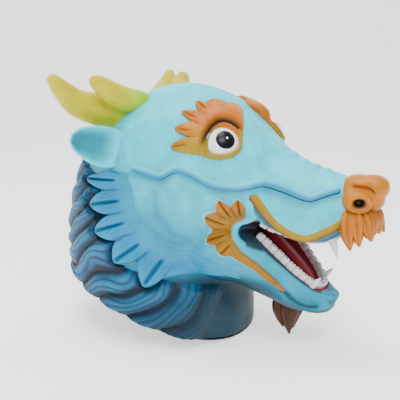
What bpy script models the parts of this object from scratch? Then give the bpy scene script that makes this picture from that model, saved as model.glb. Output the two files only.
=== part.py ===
"""Full-head latex dragon mask, worn over the whole head.

+X points out of the snout, +Y to the dragon's left and +Z up. The origin is the seat inside the crown, where
the mask hangs on the wearer's head. The head is a hollow skin lofted through superellipse sections, and each
horn, ear, brow, petal and tooth is a solid of its own that sits on it.
"""
import math

import bmesh
import bpy
import numpy as np
from mathutils import Vector
from mathutils.bvhtree import BVHTree

# Driving sizes in metres
SEAT_HEIGHT = 0.121      # inside of the crown above the mouth corners, where the tables have z = 0
SKIN_WALL = 0.003        # cast latex with its foam backing
SEAT_GAP = 0.00035       # clearance between a piece and the skin or the piece below it
SINK = 0.003             # how far a raised piece starts below the skin before it is cut to it
NECK_OVERRUN = 0.012     # the hollow runs this far out of the neck
OUTER_FACETS = (28, 20, 18, 9)      # sides and rings of the head, then of the jaw
INNER_FACETS = (20, 14, 14, 8)

# Sections of neck, cranium and snout, from the neck rim to the snout's end. Back and front are the section's
# middle points in x and z, then come the half width, where between them it is widest, the superellipse
# powers of its back and front, and the depth of the trough in it: the palate, on the front side.
HEAD_SECTIONS = (
    (-0.098, -0.080, 0.120, -0.150, 0.096, 0.50, 2.20, 2.2, 0.000),
    (-0.100, -0.045, 0.120, -0.118, 0.097, 0.50, 2.20, 2.2, 0.000),
    (-0.093, 0.000, 0.115, -0.096, 0.098, 0.50, 2.20, 2.2, 0.000),
    (-0.075, 0.045, 0.110, -0.078, 0.098, 0.50, 2.20, 2.2, 0.000),
    (-0.049, 0.088, 0.110, -0.064, 0.095, 0.48, 2.10, 2.2, 0.000),
    (-0.010, 0.121, 0.114, -0.052, 0.091, 0.48, 2.10, 2.2, 0.000),
    (0.035, 0.135, 0.122, -0.042, 0.087, 0.50, 2.10, 2.3, 0.000),
    (0.075, 0.131, 0.136, -0.030, 0.081, 0.52, 2.00, 2.5, 0.000),
    (0.108, 0.117, 0.150, -0.014, 0.074, 0.54, 1.90, 2.8, 0.003),
    (0.132, 0.096, 0.165, -0.012, 0.066, 0.56, 1.80, 3.0, 0.006),
    (0.156, 0.076, 0.185, -0.020, 0.057, 0.58, 1.75, 3.2, 0.009),
    (0.180, 0.062, 0.203, -0.026, 0.048, 0.60, 1.75, 3.2, 0.010),
    (0.203, 0.053, 0.220, -0.027, 0.041, 0.60, 1.80, 3.2, 0.009),
    (0.224, 0.047, 0.236, -0.021, 0.034, 0.60, 1.90, 3.0, 0.005),
    (0.240, 0.042, 0.248, -0.010, 0.025, 0.60, 2.00, 2.6, 0.001),
)
# Sections of the lower jaw in the same columns, throat to chin. Its trough is the mouth floor, on the back.
JAW_SECTIONS = (
    (0.090, -0.008, 0.072, -0.083, 0.068, 0.45, 2.6, 2.2, 0.000),
    (0.122, -0.006, 0.102, -0.085, 0.070, 0.42, 2.8, 2.2, 0.004),
    (0.145, -0.013, 0.128, -0.087, 0.064, 0.38, 3.2, 2.2, 0.010),
    (0.164, -0.031, 0.148, -0.093, 0.055, 0.36, 3.2, 2.2, 0.013),
    (0.181, -0.048, 0.168, -0.101, 0.046, 0.36, 3.2, 2.2, 0.013),
    (0.197, -0.063, 0.185, -0.108, 0.037, 0.38, 3.0, 2.2, 0.011),
    (0.212, -0.075, 0.203, -0.108, 0.027, 0.42, 2.6, 2.2, 0.007),
    (0.226, -0.082, 0.221, -0.099, 0.014, 0.50, 2.2, 2.2, 0.002),
)
TROUGH_SHARE = 0.72      # the trough's half width against the section's

# Tables in millimetres. A side view point is (x, z), with z from the level of the mouth corners.
MILLIMETRE = 0.001

# The eye and all round it are laid out on a plane that faces where the eye looks
EYE_PLACE = (123, 79)
EYE_LOOK = (0.53, -0.63, 0.57)
EYEBALL_RADIUS = 19
EYEBALL_DEPTH = 7

# Brow, lids and tufts as a ring round the eye: angle from the snout side, both radii and height
BROW_RING = (
    (-35, 15.0, 20, 3.0),
    (0, 16.5, 21, 3.5),
    (22, 17.5, 25, 4.5),
    (40, 18.0, 33, 6.0),
    (56, 18.0, 47, 8.0),
    (66, 18.0, 56, 9.0),
    (78, 18.0, 53, 8.5),
    (88, 18.0, 51, 8.0),
    (98, 17.0, 57, 7.0),
    (107, 16.0, 58, 4.0),
    (116, 15.0, 47, 6.0),
    (127, 14.0, 56, 3.0),
    (138, 13.5, 41, 5.0),
    (150, 13.5, 52, 3.0),
    (161, 13.5, 36, 4.0),
    (173, 14.0, 50, 2.5),
    (185, 15.0, 38, 3.0),
    (195, 17.0, 27, 3.0),
    (215, 18.0, 23.5, 3.0),
    (250, 15.5, 20, 3.0),
    (290, 14.5, 19.5, 3.0),
)

# Leaf work on the cheek in side view: x and z of an inner and of an outer edge point, rise, and 1 at a tip
FRILL_EDGES = (
    (24, 41, 5, 43, 2.5, 0),
    (27, 35, -41, 29, 4.5, 1),
    (31, 27, -8, 21, 3.0, 0),
    (33, 16, -30, 2, 3.5, 1),
    (35, 5, 0, -5, 3.5, 0),
    (38, -5, -20, -27, 4.0, 1),
    (44, -14, 10, -33, 3.5, 0),
    (52, -23, 8, -58, 4.5, 1),
    (61, -30, 37, -51, 3.5, 0),
    (72, -36, 43, -81, 4.5, 1),
    (84, -39, 62, -72, 3.5, 0),
    (96, -41, 79, -66, 3.0, 0),
    (110, -44, 104, -65, 2.5, 0),
)
ROSETTE_EDGES = (
    (149, 0, 151, 17, 2.0, 0),
    (146, -1, 145, 24, 2.5, 1),
    (142, -3, 136, 18, 2.0, 0),
    (140, -4, 126, 23, 2.5, 1),
    (138, -6, 119, 11, 2.0, 0),
    (136, -9, 108, 2, 2.5, 1),
    (135, -13, 111, -13, 2.0, 0),
    (135, -17, 106, -28, 2.5, 1),
    (136, -20, 117, -31, 2.0, 0),
    (138, -24, 124, -40, 2.5, 1),
    (141, -28, 134, -40, 2.0, 0),
    (144, -34, 143, -46, 2.5, 0),
    (160, -46, 159, -55, 2.5, 0),
    (174, -60, 173, -68, 2.5, 0),
    (186, -75, 183, -78, 1.5, 0),
)
FOLD_PATH = ((28, 48), (45, 44), (63, 41), (81, 49), (96, 46), (113, 38), (125, 34), (147, 33), (165, 37),
             (182, 32), (200, 25), (211, 23), (222, 27), (229, 29))
FOLD_WIDTH = 5
FOLD_RISE = 2.5
LIP_TRIM_PATH = ((160, 27), (165, 22), (171, 13), (178, 3), (186, -5), (196, -12), (207, -15), (217, -13),
                 (227, -8), (235, -3))
LIP_TRIM_WIDTH = 6
LIP_TRIM_RISE = 2.0

# Tubes: x, y and z of each section's centre and its radius
HORN_LONG_PRONG = (
    (-4, -38, 88, 17),
    (-22, -49, 102, 19),
    (-38, -66, 107, 18.5),
    (-48, -87, 115, 15.5),
    (-51, -104, 128, 11.5),
    (-54, -115, 139, 8),
    (-56, -121, 145, 3.5),
)
HORN_SHORT_PRONG = (
    (20, -30, 96, 11),
    (10, -44, 115, 12.5),
    (-2, -56, 118, 14),
    (-10, -70, 125, 13),
    (-15, -83, 134, 10.5),
    (-18, -92, 140, 7),
    (-19, -96, 143, 3),
)
BEARD_LOCKS = (
    ((178, 0, -100, 9), (176, 0, -118, 9), (175, 0, -132, 6), (177, 0, -142, 1.5)),
    ((171, -7, -98, 6), (168, -7, -113, 6), (166, -6, -124, 4), (165, -6, -131, 1.2)),
    ((171, 7, -98, 6), (168, 7, -113, 6), (166, 6, -124, 4), (165, 6, -131, 1.2)),
    ((186, -6, -102, 6), (187, -6, -114, 5), (187, -5, -121, 3.5), (189, -5, -128, 1.2)),
    ((186, 6, -102, 6), (187, 6, -114, 5), (187, 5, -121, 3.5), (189, 5, -128, 1.2)),
)
MOUSTACHE_LOCKS = (
    ((246, -18, 8, 7), (248, -23, -4, 7), (248, -26, -16, 5), (251, -27, -27, 1.2)),
    ((258, -15, 8, 8), (264, -18, 0, 7), (268, -20, -9, 5), (273, -21, -16, 1.2)),
    ((260, -5, 6, 6), (264, -6, -4, 5), (264, -7, -11, 3.5), (266, -7, -18, 1.2)),
)
FANGS_BELOW = ((204, -17, -83, 4.5), (208, -17.5, -75, 4), (212, -19, -68, 2.6), (215, -20, -62, 0.8))
FANGS_ABOVE = ((230, -20, -8, 5), (233, -21, -17, 4.5), (238, -24, -26, 3), (242, -27, -34, 0.8))
TONGUE_SECTIONS = (
    (138, 0, -20, 16),
    (152, 0, -31, 20),
    (166, 0, -42, 19),
    (182, 0, -55, 16),
    (197, 0, -68, 12),
    (207, 0, -76, 5),
)
TONGUE_FLATNESS = 0.36

# Rounded lumps: x, y and z of the centre, then the three radii
NOSE_LUMPS = (
    (256, 0, 33, 25, 27, 17),
    (242, 0, 28, 17, 27, 18),
    (254, -22, 22, 15, 12, 12),
    (254, 22, 22, 15, 12, 12),
)
NOSTRILS = ((264, -29, 23, 7, 9, 5.5), (264, 29, 23, 7, 9, 5.5))
MOUSTACHE_ROOT = (254, 0, 6, 17, 22, 8)

# Ear: a cupped leaf from its root to its tip
EAR_ROOT = (5, -76, 63)
EAR_TIP = (-23, -128, 81)
EAR_FACE = (0.80, -0.60, 0.07)
EAR_HALF_WIDTHS = (17, 21, 20, 15, 8, 2)
EAR_CUP = 7
EAR_WALL = 3.5
EAR_EDGE_WALL = 0.6      # the wall's share that is left at the leaf's edge
EAR_CUP_START = 0.25     # the cup is this far into its half wave at the root
EAR_STEPS = 7

# Tooth lines of the right half, from the mouth corner to the middle of the front: x, half width and z
LOWER_TOOTH_LINE = ((152, 37, -23), (165, 33, -36), (182, 27.5, -52.5), (197, 21.5, -67), (209, 13, -77),
                    (214, 0, -80.5))
UPPER_TOOTH_LINE = ((170, 38, -11), (184, 36.5, -16), (202, 31, -22.5), (219, 26, -23.5), (233, 18, -19),
                    (239, 0, -14.5))
LOWER_TOOTH_WAY = (0.62, 0, 0.78)
UPPER_TOOTH_WAY = (0, 0, -1)
TOOTH_SPACING = 9.0
TOOTH_STEPS = (0.0, 0.1, 0.9)
TOOTH_TALL = (0.1, 1.0, 1.0)
TOOTH_THICKNESS = 4.5
TOOTH_HEIGHT = 6
TOOTH_TAPER = 0.7
TOOTH_ROOT = 3
TOOTH_LINE_STEPS = 25

# The mane wraps the back of the head: how far round it reaches at each place along the head's sections
MANE_REACH = ((0.02, 134), (0.6, 130), (1.2, 126), (1.5, 120), (1.75, 110), (2.0, 90), (2.5, 73), (3.0, 64),
              (3.5, 49), (4.0, 38))
MANE_LIFT = 2.5
MANE_RIDGE = 5.0
MANE_RIDGES = 4.4        # locks in a radian round the head
MANE_SLANT = 0.9         # locks crossed by one that runs a section's length
MANE_SWELL = 0.15        # extra thickness of each section down towards the neck rim
MANE_ROUNDNESS = 0.7     # power of the half wave across a lock
MANE_EDGE_STEEPNESS = 8
MANE_EDGE_SHARE = 0.2    # thickness left at the collar's edges
MANE_CUT_HEIGHT = 14
MANE_STEPS_ALONG = 10
MANE_STEPS_ROUND = 34

# Profiles across raised work: share of the way over, height against the column's rise, None below the skin
LEAF_PROFILE = ((0, None), (0, 0.4), (0.6, 1.0), (1, 0.7), (1, None))
FORM_PROFILE = ((-0.01, None), (-0.01, 1.0), (0.4, 1.0), (0.75, 1.0), (1.01, 1.0), (1.01, None))
BAND_PROFILE = ((0, None), (0, 0.4), (0.5, 1.0), (1, 0.4), (1, None))
BROW_PROFILE = ((0, None), (0, 0.75), (0.4, 1.0), (1, 0.45), (1, None))
PETAL_BULGE = 0.28
PETAL_SWELL = 1.35
BAND_END_SHARE = 0.35    # a band's width at its ends
CAST_DISTANCE = 0.3
TUBE_SIDES = 10
LOCK_SIDES = 6
BEARD_SIDES = 8
TUBE_STEEP_SHARE = 0.6   # a tube that starts steeper than this is turned off a level direction, not off +Z
TUBE_LEVEL = (1.0, 0.3, 0.2)
EYE_FACETS = (18, 12)
BULB_FACETS = 16
LUMP_FACETS = 10
SHARP_ANGLE = 40

PAINT = {
    "skin": ((0.38, 0.68, 0.74), 0.55),
    "frill": ((0.10, 0.34, 0.52), 0.55),
    "mane": ((0.04, 0.16, 0.26), 0.60),
    "horn": ((0.52, 0.60, 0.06), 0.50),
    "gold": ((0.38, 0.22, 0.05), 0.55),
    "nose": ((0.48, 0.24, 0.06), 0.50),
    "beard": ((0.16, 0.05, 0.01), 0.65),
    "tooth": ((0.86, 0.84, 0.80), 0.35),
    "eye": ((0.90, 0.90, 0.88), 0.15),
    "tongue": ((0.28, 0.03, 0.05), 0.40),
}

for old in list(bpy.data.objects):
    bpy.data.objects.remove(old)

parts = bpy.data.collections.new("dragon_mask")
forms = bpy.data.collections.new("cutting_forms")
bpy.context.scene.collection.children.link(parts)
bpy.context.scene.collection.children.link(forms)


def paint(node, finish):
    """Give a piece a Principled material of its own in one of the painted finishes."""
    colour, roughness = PAINT[finish]
    material = bpy.data.materials.new(node.name)
    material.use_nodes = True
    shader = material.node_tree.nodes["Principled BSDF"]
    shader.inputs["Base Color"].default_value = (*colour, 1.0)
    shader.inputs["Roughness"].default_value = roughness
    shader.inputs["Metallic"].default_value = 0.0
    node.data.materials.clear()
    node.data.materials.append(material)


def make_node(name, mesh, finish=None):
    """Link a mesh as a part with its paint, or without one as a hidden cutting form."""
    node = bpy.data.objects.new(name, mesh)
    if finish:
        parts.objects.link(node)
        paint(node, finish)
        mesh.shade_smooth()
        mesh.set_sharp_from_angle(angle=math.radians(SHARP_ANGLE))
    else:
        forms.objects.link(node)
        node.hide_render = True
        node.display_type = "WIRE"
    return node


def combine(node, form, operation):
    """Add, cut or keep what a second closed form says."""
    modifier = node.modifiers.new(f"{operation.lower()}_{form.name}", "BOOLEAN")
    modifier.operation = operation
    modifier.solver = "EXACT"
    modifier.use_self = operation == "UNION"
    modifier.object = form


def grid_mesh(name, rings, closed=True):
    """Skin a stack of equal rings, shape (rings, points, 3), and close both ends with flat caps."""
    shape = bmesh.new()
    rows = [[shape.verts.new(point) for point in ring] for ring in rings]
    for low, high in zip(rows, rows[1:]):
        for index in range(len(low)):
            after = (index + 1) % len(low)
            shape.faces.new((low[index], low[after], high[after], high[index]))
    if closed:
        shape.faces.new(rows[0])
        shape.faces.new(rows[-1])
    else:
        for index in range(len(rows[0])):
            after = (index + 1) % len(rows[0])
            shape.faces.new((rows[-1][index], rows[-1][after], rows[0][after], rows[0][index]))
    bmesh.ops.triangulate(shape, faces=shape.faces, quad_method="FIXED")
    bmesh.ops.recalc_face_normals(shape, faces=shape.faces)
    mesh = bpy.data.meshes.new(name)
    shape.to_mesh(mesh)
    shape.free()
    return mesh


def blend_rows(table, at):
    """Rows of a table read at fractional places on a Catmull-Rom curve through them."""
    rows = np.array(table, dtype=float)
    last = len(rows) - 1
    at = np.clip(np.asarray(at, dtype=float), 0, last)
    low = np.clip(at.astype(int), 0, last - 1)
    step = (at - low)[..., None]
    before, here = rows[np.clip(low - 1, 0, last)], rows[low]
    ahead, beyond = rows[low + 1], rows[np.clip(low + 2, 0, last)]
    return 0.5 * (2 * here + (ahead - before) * step + (2 * before - 5 * here + 4 * ahead - beyond) * step**2
                  + (3 * here - before - 3 * ahead + beyond) * step**3)


def section_points(table, at, angle, lift=0.0, trough_on_back=False):
    """Points of a lofted form: place along its table, angle round from the back point, and lift off it."""
    row = blend_rows(table, at)
    back, front = row[..., 0:2], row[..., 2:4]
    span = np.linalg.norm(front - back, axis=-1, keepdims=True)
    along = (front - back) / span
    lift = np.asarray(lift, dtype=float)[..., None]
    back, front = back - along * lift, front + along * lift
    middle = back + (front - back) * row[..., 5:6]
    cosine, sine = np.cos(angle), np.sin(angle)
    on_back = cosine > 0
    power = 2 / np.where(on_back, row[..., 6], row[..., 7])
    reach = np.abs(cosine) ** power
    side = np.sign(sine) * np.abs(sine) ** power
    toward = np.where(on_back[..., None], back - middle, front - middle)
    share = np.clip(1 - (np.abs(side) / TROUGH_SHARE) ** 2, 0, 1) ** 2
    depth = row[..., 8] * share / np.linalg.norm(toward, axis=-1)
    reach = reach - np.where(on_back == trough_on_back, depth, 0)
    flat = middle + toward * reach[..., None]
    width = (row[..., 4] + lift[..., 0]) * side
    return np.stack((flat[..., 0], width, flat[..., 1] - SEAT_HEIGHT), axis=-1)


def loft(name, table, sides, count, lift=0.0, trough_on_back=False, first_shift=0.0, finish=None):
    """Closed solid through a table of sections; a shift moves the first ring out along the form."""
    places = np.linspace(0, len(table) - 1, count)
    turn = np.arange(sides) * math.tau / sides
    at, angle = np.meshgrid(places, turn, indexing="ij")
    rings = section_points(table, at, angle, np.full(at.shape, lift), trough_on_back)
    centres = rings.mean(axis=1)
    start_way = (centres[0] - centres[1]) / np.linalg.norm(centres[0] - centres[1])
    end_way = (centres[-1] - centres[-2]) / np.linalg.norm(centres[-1] - centres[-2])
    rings[0] += start_way * (first_shift or lift)
    rings[-1] += end_way * lift
    return make_node(name, grid_mesh(name, rings), finish)


def head_form(name, lift, facets=OUTER_FACETS, first_shift=0.0, finish=None):
    """The whole closed head, neck to snout with the jaw joined on, grown or shrunk by a lift."""
    head = loft(name, HEAD_SECTIONS, facets[0], facets[1], lift, False, first_shift, finish)
    jaw = loft(f"{name}_jaw", JAW_SECTIONS, facets[2], facets[3], lift, True)
    combine(head, jaw, "UNION")
    return head


def latex_skin():
    """Hollow latex head, open at the neck, with the mouth's walls and lips."""
    skin = head_form("latex_skin", 0.0, finish="skin")
    hollow = head_form("hollow", -SKIN_WALL, INNER_FACETS, first_shift=NECK_OVERRUN)
    combine(skin, hollow, "DIFFERENCE")
    return skin


def mirrored(points, sign):
    """Points given for the right side (-Y), or turned over for the left one."""
    return np.asarray(points, dtype=float) * (1, -sign, 1)


def view_frame(place, look):
    """Origin and axes of a plane that faces look, over a side view point of the head."""
    look = Vector(look).normalized()
    rise = (Vector((0, 0, 1)) - look * look.z).normalized()
    right = rise.cross(look)
    x, z = (value * MILLIMETRE for value in place)
    hit, _, _, _ = surface.ray_cast(Vector((x, -CAST_DISTANCE, z - SEAT_HEIGHT)), Vector((0, 1, 0)))
    return hit, right, rise, look


def drape(frame, across, up, height):
    """Drop plane points onto the head along the frame's look, then lift them by a height (all in mm)."""
    origin, right, rise, look = frame
    points = []
    for u, v, lift in zip(np.ravel(across), np.ravel(up), np.ravel(height)):
        start = origin + (right * float(u) + rise * float(v)) * MILLIMETRE
        hit, _, _, _ = surface.ray_cast(start + look * CAST_DISTANCE, -look)
        if hit is None:
            hit, _, _, _ = surface.find_nearest(start)
        points.append(hit + look * float(lift) * MILLIMETRE)
    return np.array(points).reshape(*np.shape(across), 3)


def edge_columns(table):
    """Edge points and rise, with a bulging column added between each tip and its notches."""
    columns = [np.array(table[0][:5], dtype=float)]
    for before, after in zip(table, table[1:]):
        here, there = np.array(before[:5], dtype=float), np.array(after[:5], dtype=float)
        if before[5] != after[5]:
            middle = (here + there) / 2
            reach = abs(np.linalg.norm(here[2:4] - here[0:2]) - np.linalg.norm(there[2:4] - there[0:2]))
            way = (middle[2:4] - middle[0:2]) / np.linalg.norm(middle[2:4] - middle[0:2])
            middle[2:4] += way * reach * PETAL_BULGE
            middle[4] *= PETAL_SWELL
            columns.append(middle)
        columns.append(there)
    return np.array(columns)


def band_columns(path, width, rise):
    """Both edges of an even band along a side view path."""
    path = np.array(path, dtype=float)
    way = np.gradient(path, axis=0)
    way /= np.linalg.norm(way, axis=1, keepdims=True)
    normal = np.stack((way[:, 1], -way[:, 0]), axis=1) * width / 2
    from_end = np.minimum(np.arange(len(path)), np.arange(len(path))[::-1])[:, None]
    taper = np.minimum(1, BAND_END_SHARE + (1 - BAND_END_SHARE) * from_end)
    return np.hstack((path + normal * taper, path - normal * taper, np.full((len(path), 1), rise)))


def slab(name, sign, frame, columns, profile, finish):
    """Raised work on the head: each column runs from its inner to its outer edge over a height profile."""
    across, up, height = [], [], []
    for share, level in profile:
        across.append(columns[:, 0] + (columns[:, 2] - columns[:, 0]) * share)
        up.append(columns[:, 1] + (columns[:, 3] - columns[:, 1]) * share)
        height.append(np.full(len(columns), -SINK / MILLIMETRE) if level is None else columns[:, 4] * level)
    rings = drape(frame, np.array(across).T, np.array(up).T, np.array(height).T)
    return make_node(name, grid_mesh(name, mirrored(rings, sign)), finish)


def tube(name, sections, sign=-1, flat=1.0, sides=TUBE_SIDES, finish=None):
    """Round or flattened tube through centres with radii; flat is its height against its width."""
    table = np.array(sections, dtype=float) * MILLIMETRE
    centres, radii = table[:, 0:3] - (0, 0, SEAT_HEIGHT), table[:, 3]
    way = np.gradient(centres, axis=0)
    way /= np.linalg.norm(way, axis=1, keepdims=True)
    across = np.cross(way, TUBE_LEVEL if abs(way[0][2]) > TUBE_STEEP_SHARE else (0, 0, 1))
    across /= np.linalg.norm(across, axis=1, keepdims=True)
    over = np.cross(across, way)
    turn = np.arange(sides) * math.tau / sides
    rings = (centres[:, None] + across[:, None] * np.cos(turn)[None, :, None] * radii[:, None, None]
             + over[:, None] * np.sin(turn)[None, :, None] * radii[:, None, None] * flat)
    return make_node(name, grid_mesh(name, mirrored(rings, sign)), finish)


def lump(name, row, segments=LUMP_FACETS, finish=None):
    """Ellipsoid from a row of lump sizes."""
    shape = bmesh.new()
    bmesh.ops.create_uvsphere(shape, u_segments=segments, v_segments=segments // 2 + 2, radius=1)
    centre, radii = np.array(row[0:3], dtype=float), np.array(row[3:6], dtype=float)
    for vertex in shape.verts:
        place = (centre + np.array(vertex.co) * radii) * MILLIMETRE
        vertex.co = (place[0], place[1], place[2] - SEAT_HEIGHT)
    mesh = bpy.data.meshes.new(name)
    shape.to_mesh(mesh)
    shape.free()
    return make_node(name, mesh, finish)


def clearance(node):
    """A copy of a piece before it was cut to the head, grown by the seat gap, to cut its neighbour with."""
    form = node.copy()
    form.data = node.data.copy()
    for modifier in [cut for cut in form.modifiers if cut.object == grown_head]:
        form.modifiers.remove(modifier)
    form.name = f"{node.name}_clearance"
    forms.objects.link(form)
    form.hide_render = True
    form.display_type = "WIRE"
    grow = form.modifiers.new("grow", "DISPLACE")
    grow.mid_level = 0
    grow.strength = SEAT_GAP
    return form


def seat(node):
    """Cut a piece to the head, a seat gap clear of it."""
    combine(node, grown_head, "DIFFERENCE")
    return node


def eye(side, sign):
    """Eyeball: a dome that stands out of the head and looks forward, out and up."""
    origin, _, _, look = eye_frame
    centre = mirrored(origin - look * EYEBALL_DEPTH * MILLIMETRE, sign)
    shape = bmesh.new()
    bmesh.ops.create_uvsphere(shape, u_segments=EYE_FACETS[0], v_segments=EYE_FACETS[1],
                               radius=EYEBALL_RADIUS * MILLIMETRE)
    bmesh.ops.translate(shape, verts=shape.verts, vec=Vector(centre))
    mesh = bpy.data.meshes.new(f"eye_{side}")
    shape.to_mesh(mesh)
    shape.free()
    return seat(make_node(f"eye_{side}", mesh, "eye"))


def brow(side, sign, eyeball):
    """Brow ridge, eyelids and swept tufts as one ring round the eye."""
    table = np.array(BROW_RING)
    turn = np.radians(table[:, 0])
    across, up, height = [], [], []
    for share, level in BROW_PROFILE:
        radius = table[:, 1] + (table[:, 2] - table[:, 1]) * share
        across.append(np.cos(turn) * radius)
        up.append(np.sin(turn) * radius)
        height.append(np.full(len(table), -SINK / MILLIMETRE) if level is None else table[:, 3] * level)
    rings = drape(eye_frame, np.array(across).T, np.array(up).T, np.array(height).T)
    name = f"brow_{side}"
    node = make_node(name, grid_mesh(name, mirrored(rings, sign), closed=False), "gold")
    combine(node, clearance(eyeball), "DIFFERENCE")
    return seat(node)


def horn(side, sign):
    """Forked horn: a long prong that sweeps back and out, with a short one before it."""
    node = tube(f"horn_{side}", HORN_LONG_PRONG, sign, finish="horn")
    combine(node, tube(f"short_prong_{side}", HORN_SHORT_PRONG, sign), "UNION")
    return seat(node)


def ear(side, sign, neighbour):
    """Cupped leaf that points back and out, hollow towards the front."""
    root, tip = np.array(EAR_ROOT, dtype=float), np.array(EAR_TIP, dtype=float)
    way = (tip - root) / np.linalg.norm(tip - root)
    face = np.array(EAR_FACE) - way * np.dot(EAR_FACE, way)
    face /= np.linalg.norm(face)
    wide = np.cross(way, face)
    rings = []
    share = np.linspace(-1, 1, EAR_STEPS)
    for index, half_width in enumerate(EAR_HALF_WIDTHS):
        along = index / (len(EAR_HALF_WIDTHS) - 1)
        centre = root + (tip - root) * along
        cup = EAR_CUP * math.sin(math.pi * min(1, along + EAR_CUP_START)) * (1 - share**2)
        front = centre + wide * (share * half_width)[:, None] - face * cup[:, None]
        wall = EAR_WALL * (1 - (1 - EAR_EDGE_WALL) * share**2)
        back = front - face * wall[:, None]
        rings.append(np.vstack((front, back[::-1])))
    points = np.array(rings) * MILLIMETRE - (0, 0, SEAT_HEIGHT)
    name = f"ear_{side}"
    node = make_node(name, grid_mesh(name, mirrored(points, sign)), "skin")
    combine(node, clearance(neighbour), "DIFFERENCE")
    return seat(node)


def nose():
    """Bulb, bridge and two wings, with the nostrils pressed in."""
    node = lump("nose", NOSE_LUMPS[0], BULB_FACETS, "nose")
    for index, row in enumerate(NOSE_LUMPS[1:]):
        combine(node, lump(f"nose_lump_{index}", row), "UNION")
    for index, row in enumerate(NOSTRILS):
        combine(node, lump(f"nostril_{index}", row), "DIFFERENCE")
    return seat(node)


def moustache(neighbour):
    """Short locks under the nose, on one root."""
    node = lump("moustache", MOUSTACHE_ROOT, finish="nose")
    for sign in (-1, 1):
        for index, sections in enumerate(MOUSTACHE_LOCKS):
            combine(node, tube(f"moustache_lock_{index}_{sign}", sections, sign, sides=LOCK_SIDES), "UNION")
    combine(node, clearance(neighbour), "DIFFERENCE")
    return seat(node)


def beard():
    """Pointed tuft of five locks under the chin."""
    node = tube("beard", BEARD_LOCKS[0], sides=BEARD_SIDES, finish="beard")
    for index, sections in enumerate(BEARD_LOCKS[1:]):
        combine(node, tube(f"beard_lock_{index}", sections, sides=BEARD_SIDES), "UNION")
    return seat(node)


def tooth_row(name, line, way_up, fang):
    """Battlement of teeth swept round a jaw on its gum, with two fangs fused to it."""
    half = blend_rows(line, np.linspace(0, len(line) - 1, TOOTH_LINE_STEPS)) * (1, -1, 1)
    path = np.vstack((half, half[-2::-1] * (1, -1, 1)))
    length = np.concatenate(([0], np.cumsum(np.linalg.norm(np.diff(path, axis=0), axis=1))))
    count = int(length[-1] / TOOTH_SPACING)
    steps = (np.arange(count)[:, None] + np.array(TOOTH_STEPS)[None, :]).ravel() * length[-1] / count
    tall = np.tile(np.array(TOOTH_TALL), count)
    place = np.stack([np.interp(steps, length, path[:, axis]) for axis in range(3)], axis=1)
    run = np.gradient(path, axis=0)
    run = np.stack([np.interp(steps, length, run[:, axis]) for axis in range(3)], axis=1)
    run /= np.linalg.norm(run, axis=1, keepdims=True)
    up = np.array(way_up) / np.linalg.norm(way_up)
    thick = np.cross(run, up)
    thick /= np.linalg.norm(thick, axis=1, keepdims=True)
    rise = np.cross(thick, run)
    low = place - rise * TOOTH_ROOT
    high = place + rise * (TOOTH_HEIGHT * tall)[:, None]
    half_root, half_tip = thick * TOOTH_THICKNESS / 2, thick * TOOTH_THICKNESS * TOOTH_TAPER / 2
    rings = np.stack((low - half_root, low + half_root, high + half_tip, high - half_tip), axis=1)
    rings = rings * MILLIMETRE - (0, 0, SEAT_HEIGHT)
    node = make_node(name, grid_mesh(name, rings), "tooth")
    for sign in (-1, 1):
        combine(node, tube(f"{name}_fang_{sign}", fang, sign, sides=LOCK_SIDES), "UNION")
    return seat(node)


def mane():
    """Ridged locks round the back of the head and neck, as one collar that lies on the skin."""
    places = np.linspace(MANE_REACH[0][0], MANE_REACH[-1][0], MANE_STEPS_ALONG)
    reach = np.radians(np.interp(places, *np.array(MANE_REACH).T))
    share = np.linspace(-1, 1, MANE_STEPS_ROUND)
    at = np.repeat(places[:, None], MANE_STEPS_ROUND, axis=1)
    angle = reach[:, None] * share[None, :]
    ridge = np.sin(math.pi * ((np.abs(angle) * MANE_RIDGES - at * MANE_SLANT) % 1)) ** MANE_ROUNDNESS
    edge = np.minimum(1, (1 - np.abs(share))[None, :] * MANE_EDGE_STEEPNESS + MANE_EDGE_SHARE)
    swell = 1 + MANE_SWELL * (places[-1] - at)
    lift = (MANE_LIFT + MANE_RIDGE * ridge) * edge * swell * MILLIMETRE
    over = section_points(HEAD_SECTIONS, at, angle, lift)
    under = section_points(HEAD_SECTIONS, at, angle, np.full(at.shape, -SINK / 2))
    node = make_node("mane", grid_mesh("mane", np.concatenate((over, under[:, ::-1]), axis=1)), "mane")
    columns = edge_columns(FRILL_EDGES)
    columns[:, 4] = MANE_CUT_HEIGHT
    for sign in (-1, 1):
        form = slab(f"frill_form_{sign}", sign, side_frame, columns, FORM_PROFILE, None)
        combine(node, clearance(form), "DIFFERENCE")
    return seat(node)


latex_skin()
grown_head = head_form("grown_head", SEAT_GAP)
bpy.context.view_layer.update()
surface = BVHTree.FromObject(grown_head, bpy.context.evaluated_depsgraph_get())
side_frame = (Vector((0, 0, -SEAT_HEIGHT)), Vector((1, 0, 0)), Vector((0, 0, 1)), Vector((0, -1, 0)))
eye_frame = view_frame(EYE_PLACE, EYE_LOOK)

for side, sign in (("right", -1), ("left", 1)):
    brow(side, sign, eye(side, sign))
    ear(side, sign, horn(side, sign))
    seat(slab(f"cheek_frill_{side}", sign, side_frame, edge_columns(FRILL_EDGES), LEAF_PROFILE, "frill"))
    seat(slab(f"mouth_rosette_{side}", sign, side_frame, edge_columns(ROSETTE_EDGES), LEAF_PROFILE, "gold"))
    seat(slab(f"fold_ridge_{side}", sign, side_frame, band_columns(FOLD_PATH, FOLD_WIDTH, FOLD_RISE),
              BAND_PROFILE, "frill"))
    seat(slab(f"lip_trim_{side}", sign, side_frame,
              band_columns(LIP_TRIM_PATH, LIP_TRIM_WIDTH, LIP_TRIM_RISE), BAND_PROFILE, "gold"))
moustache(nose())
beard()
seat(tube("tongue", TONGUE_SECTIONS, flat=TONGUE_FLATNESS, finish="tongue"))
tooth_row("lower_teeth", LOWER_TOOTH_LINE, LOWER_TOOTH_WAY, FANGS_BELOW)
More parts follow.
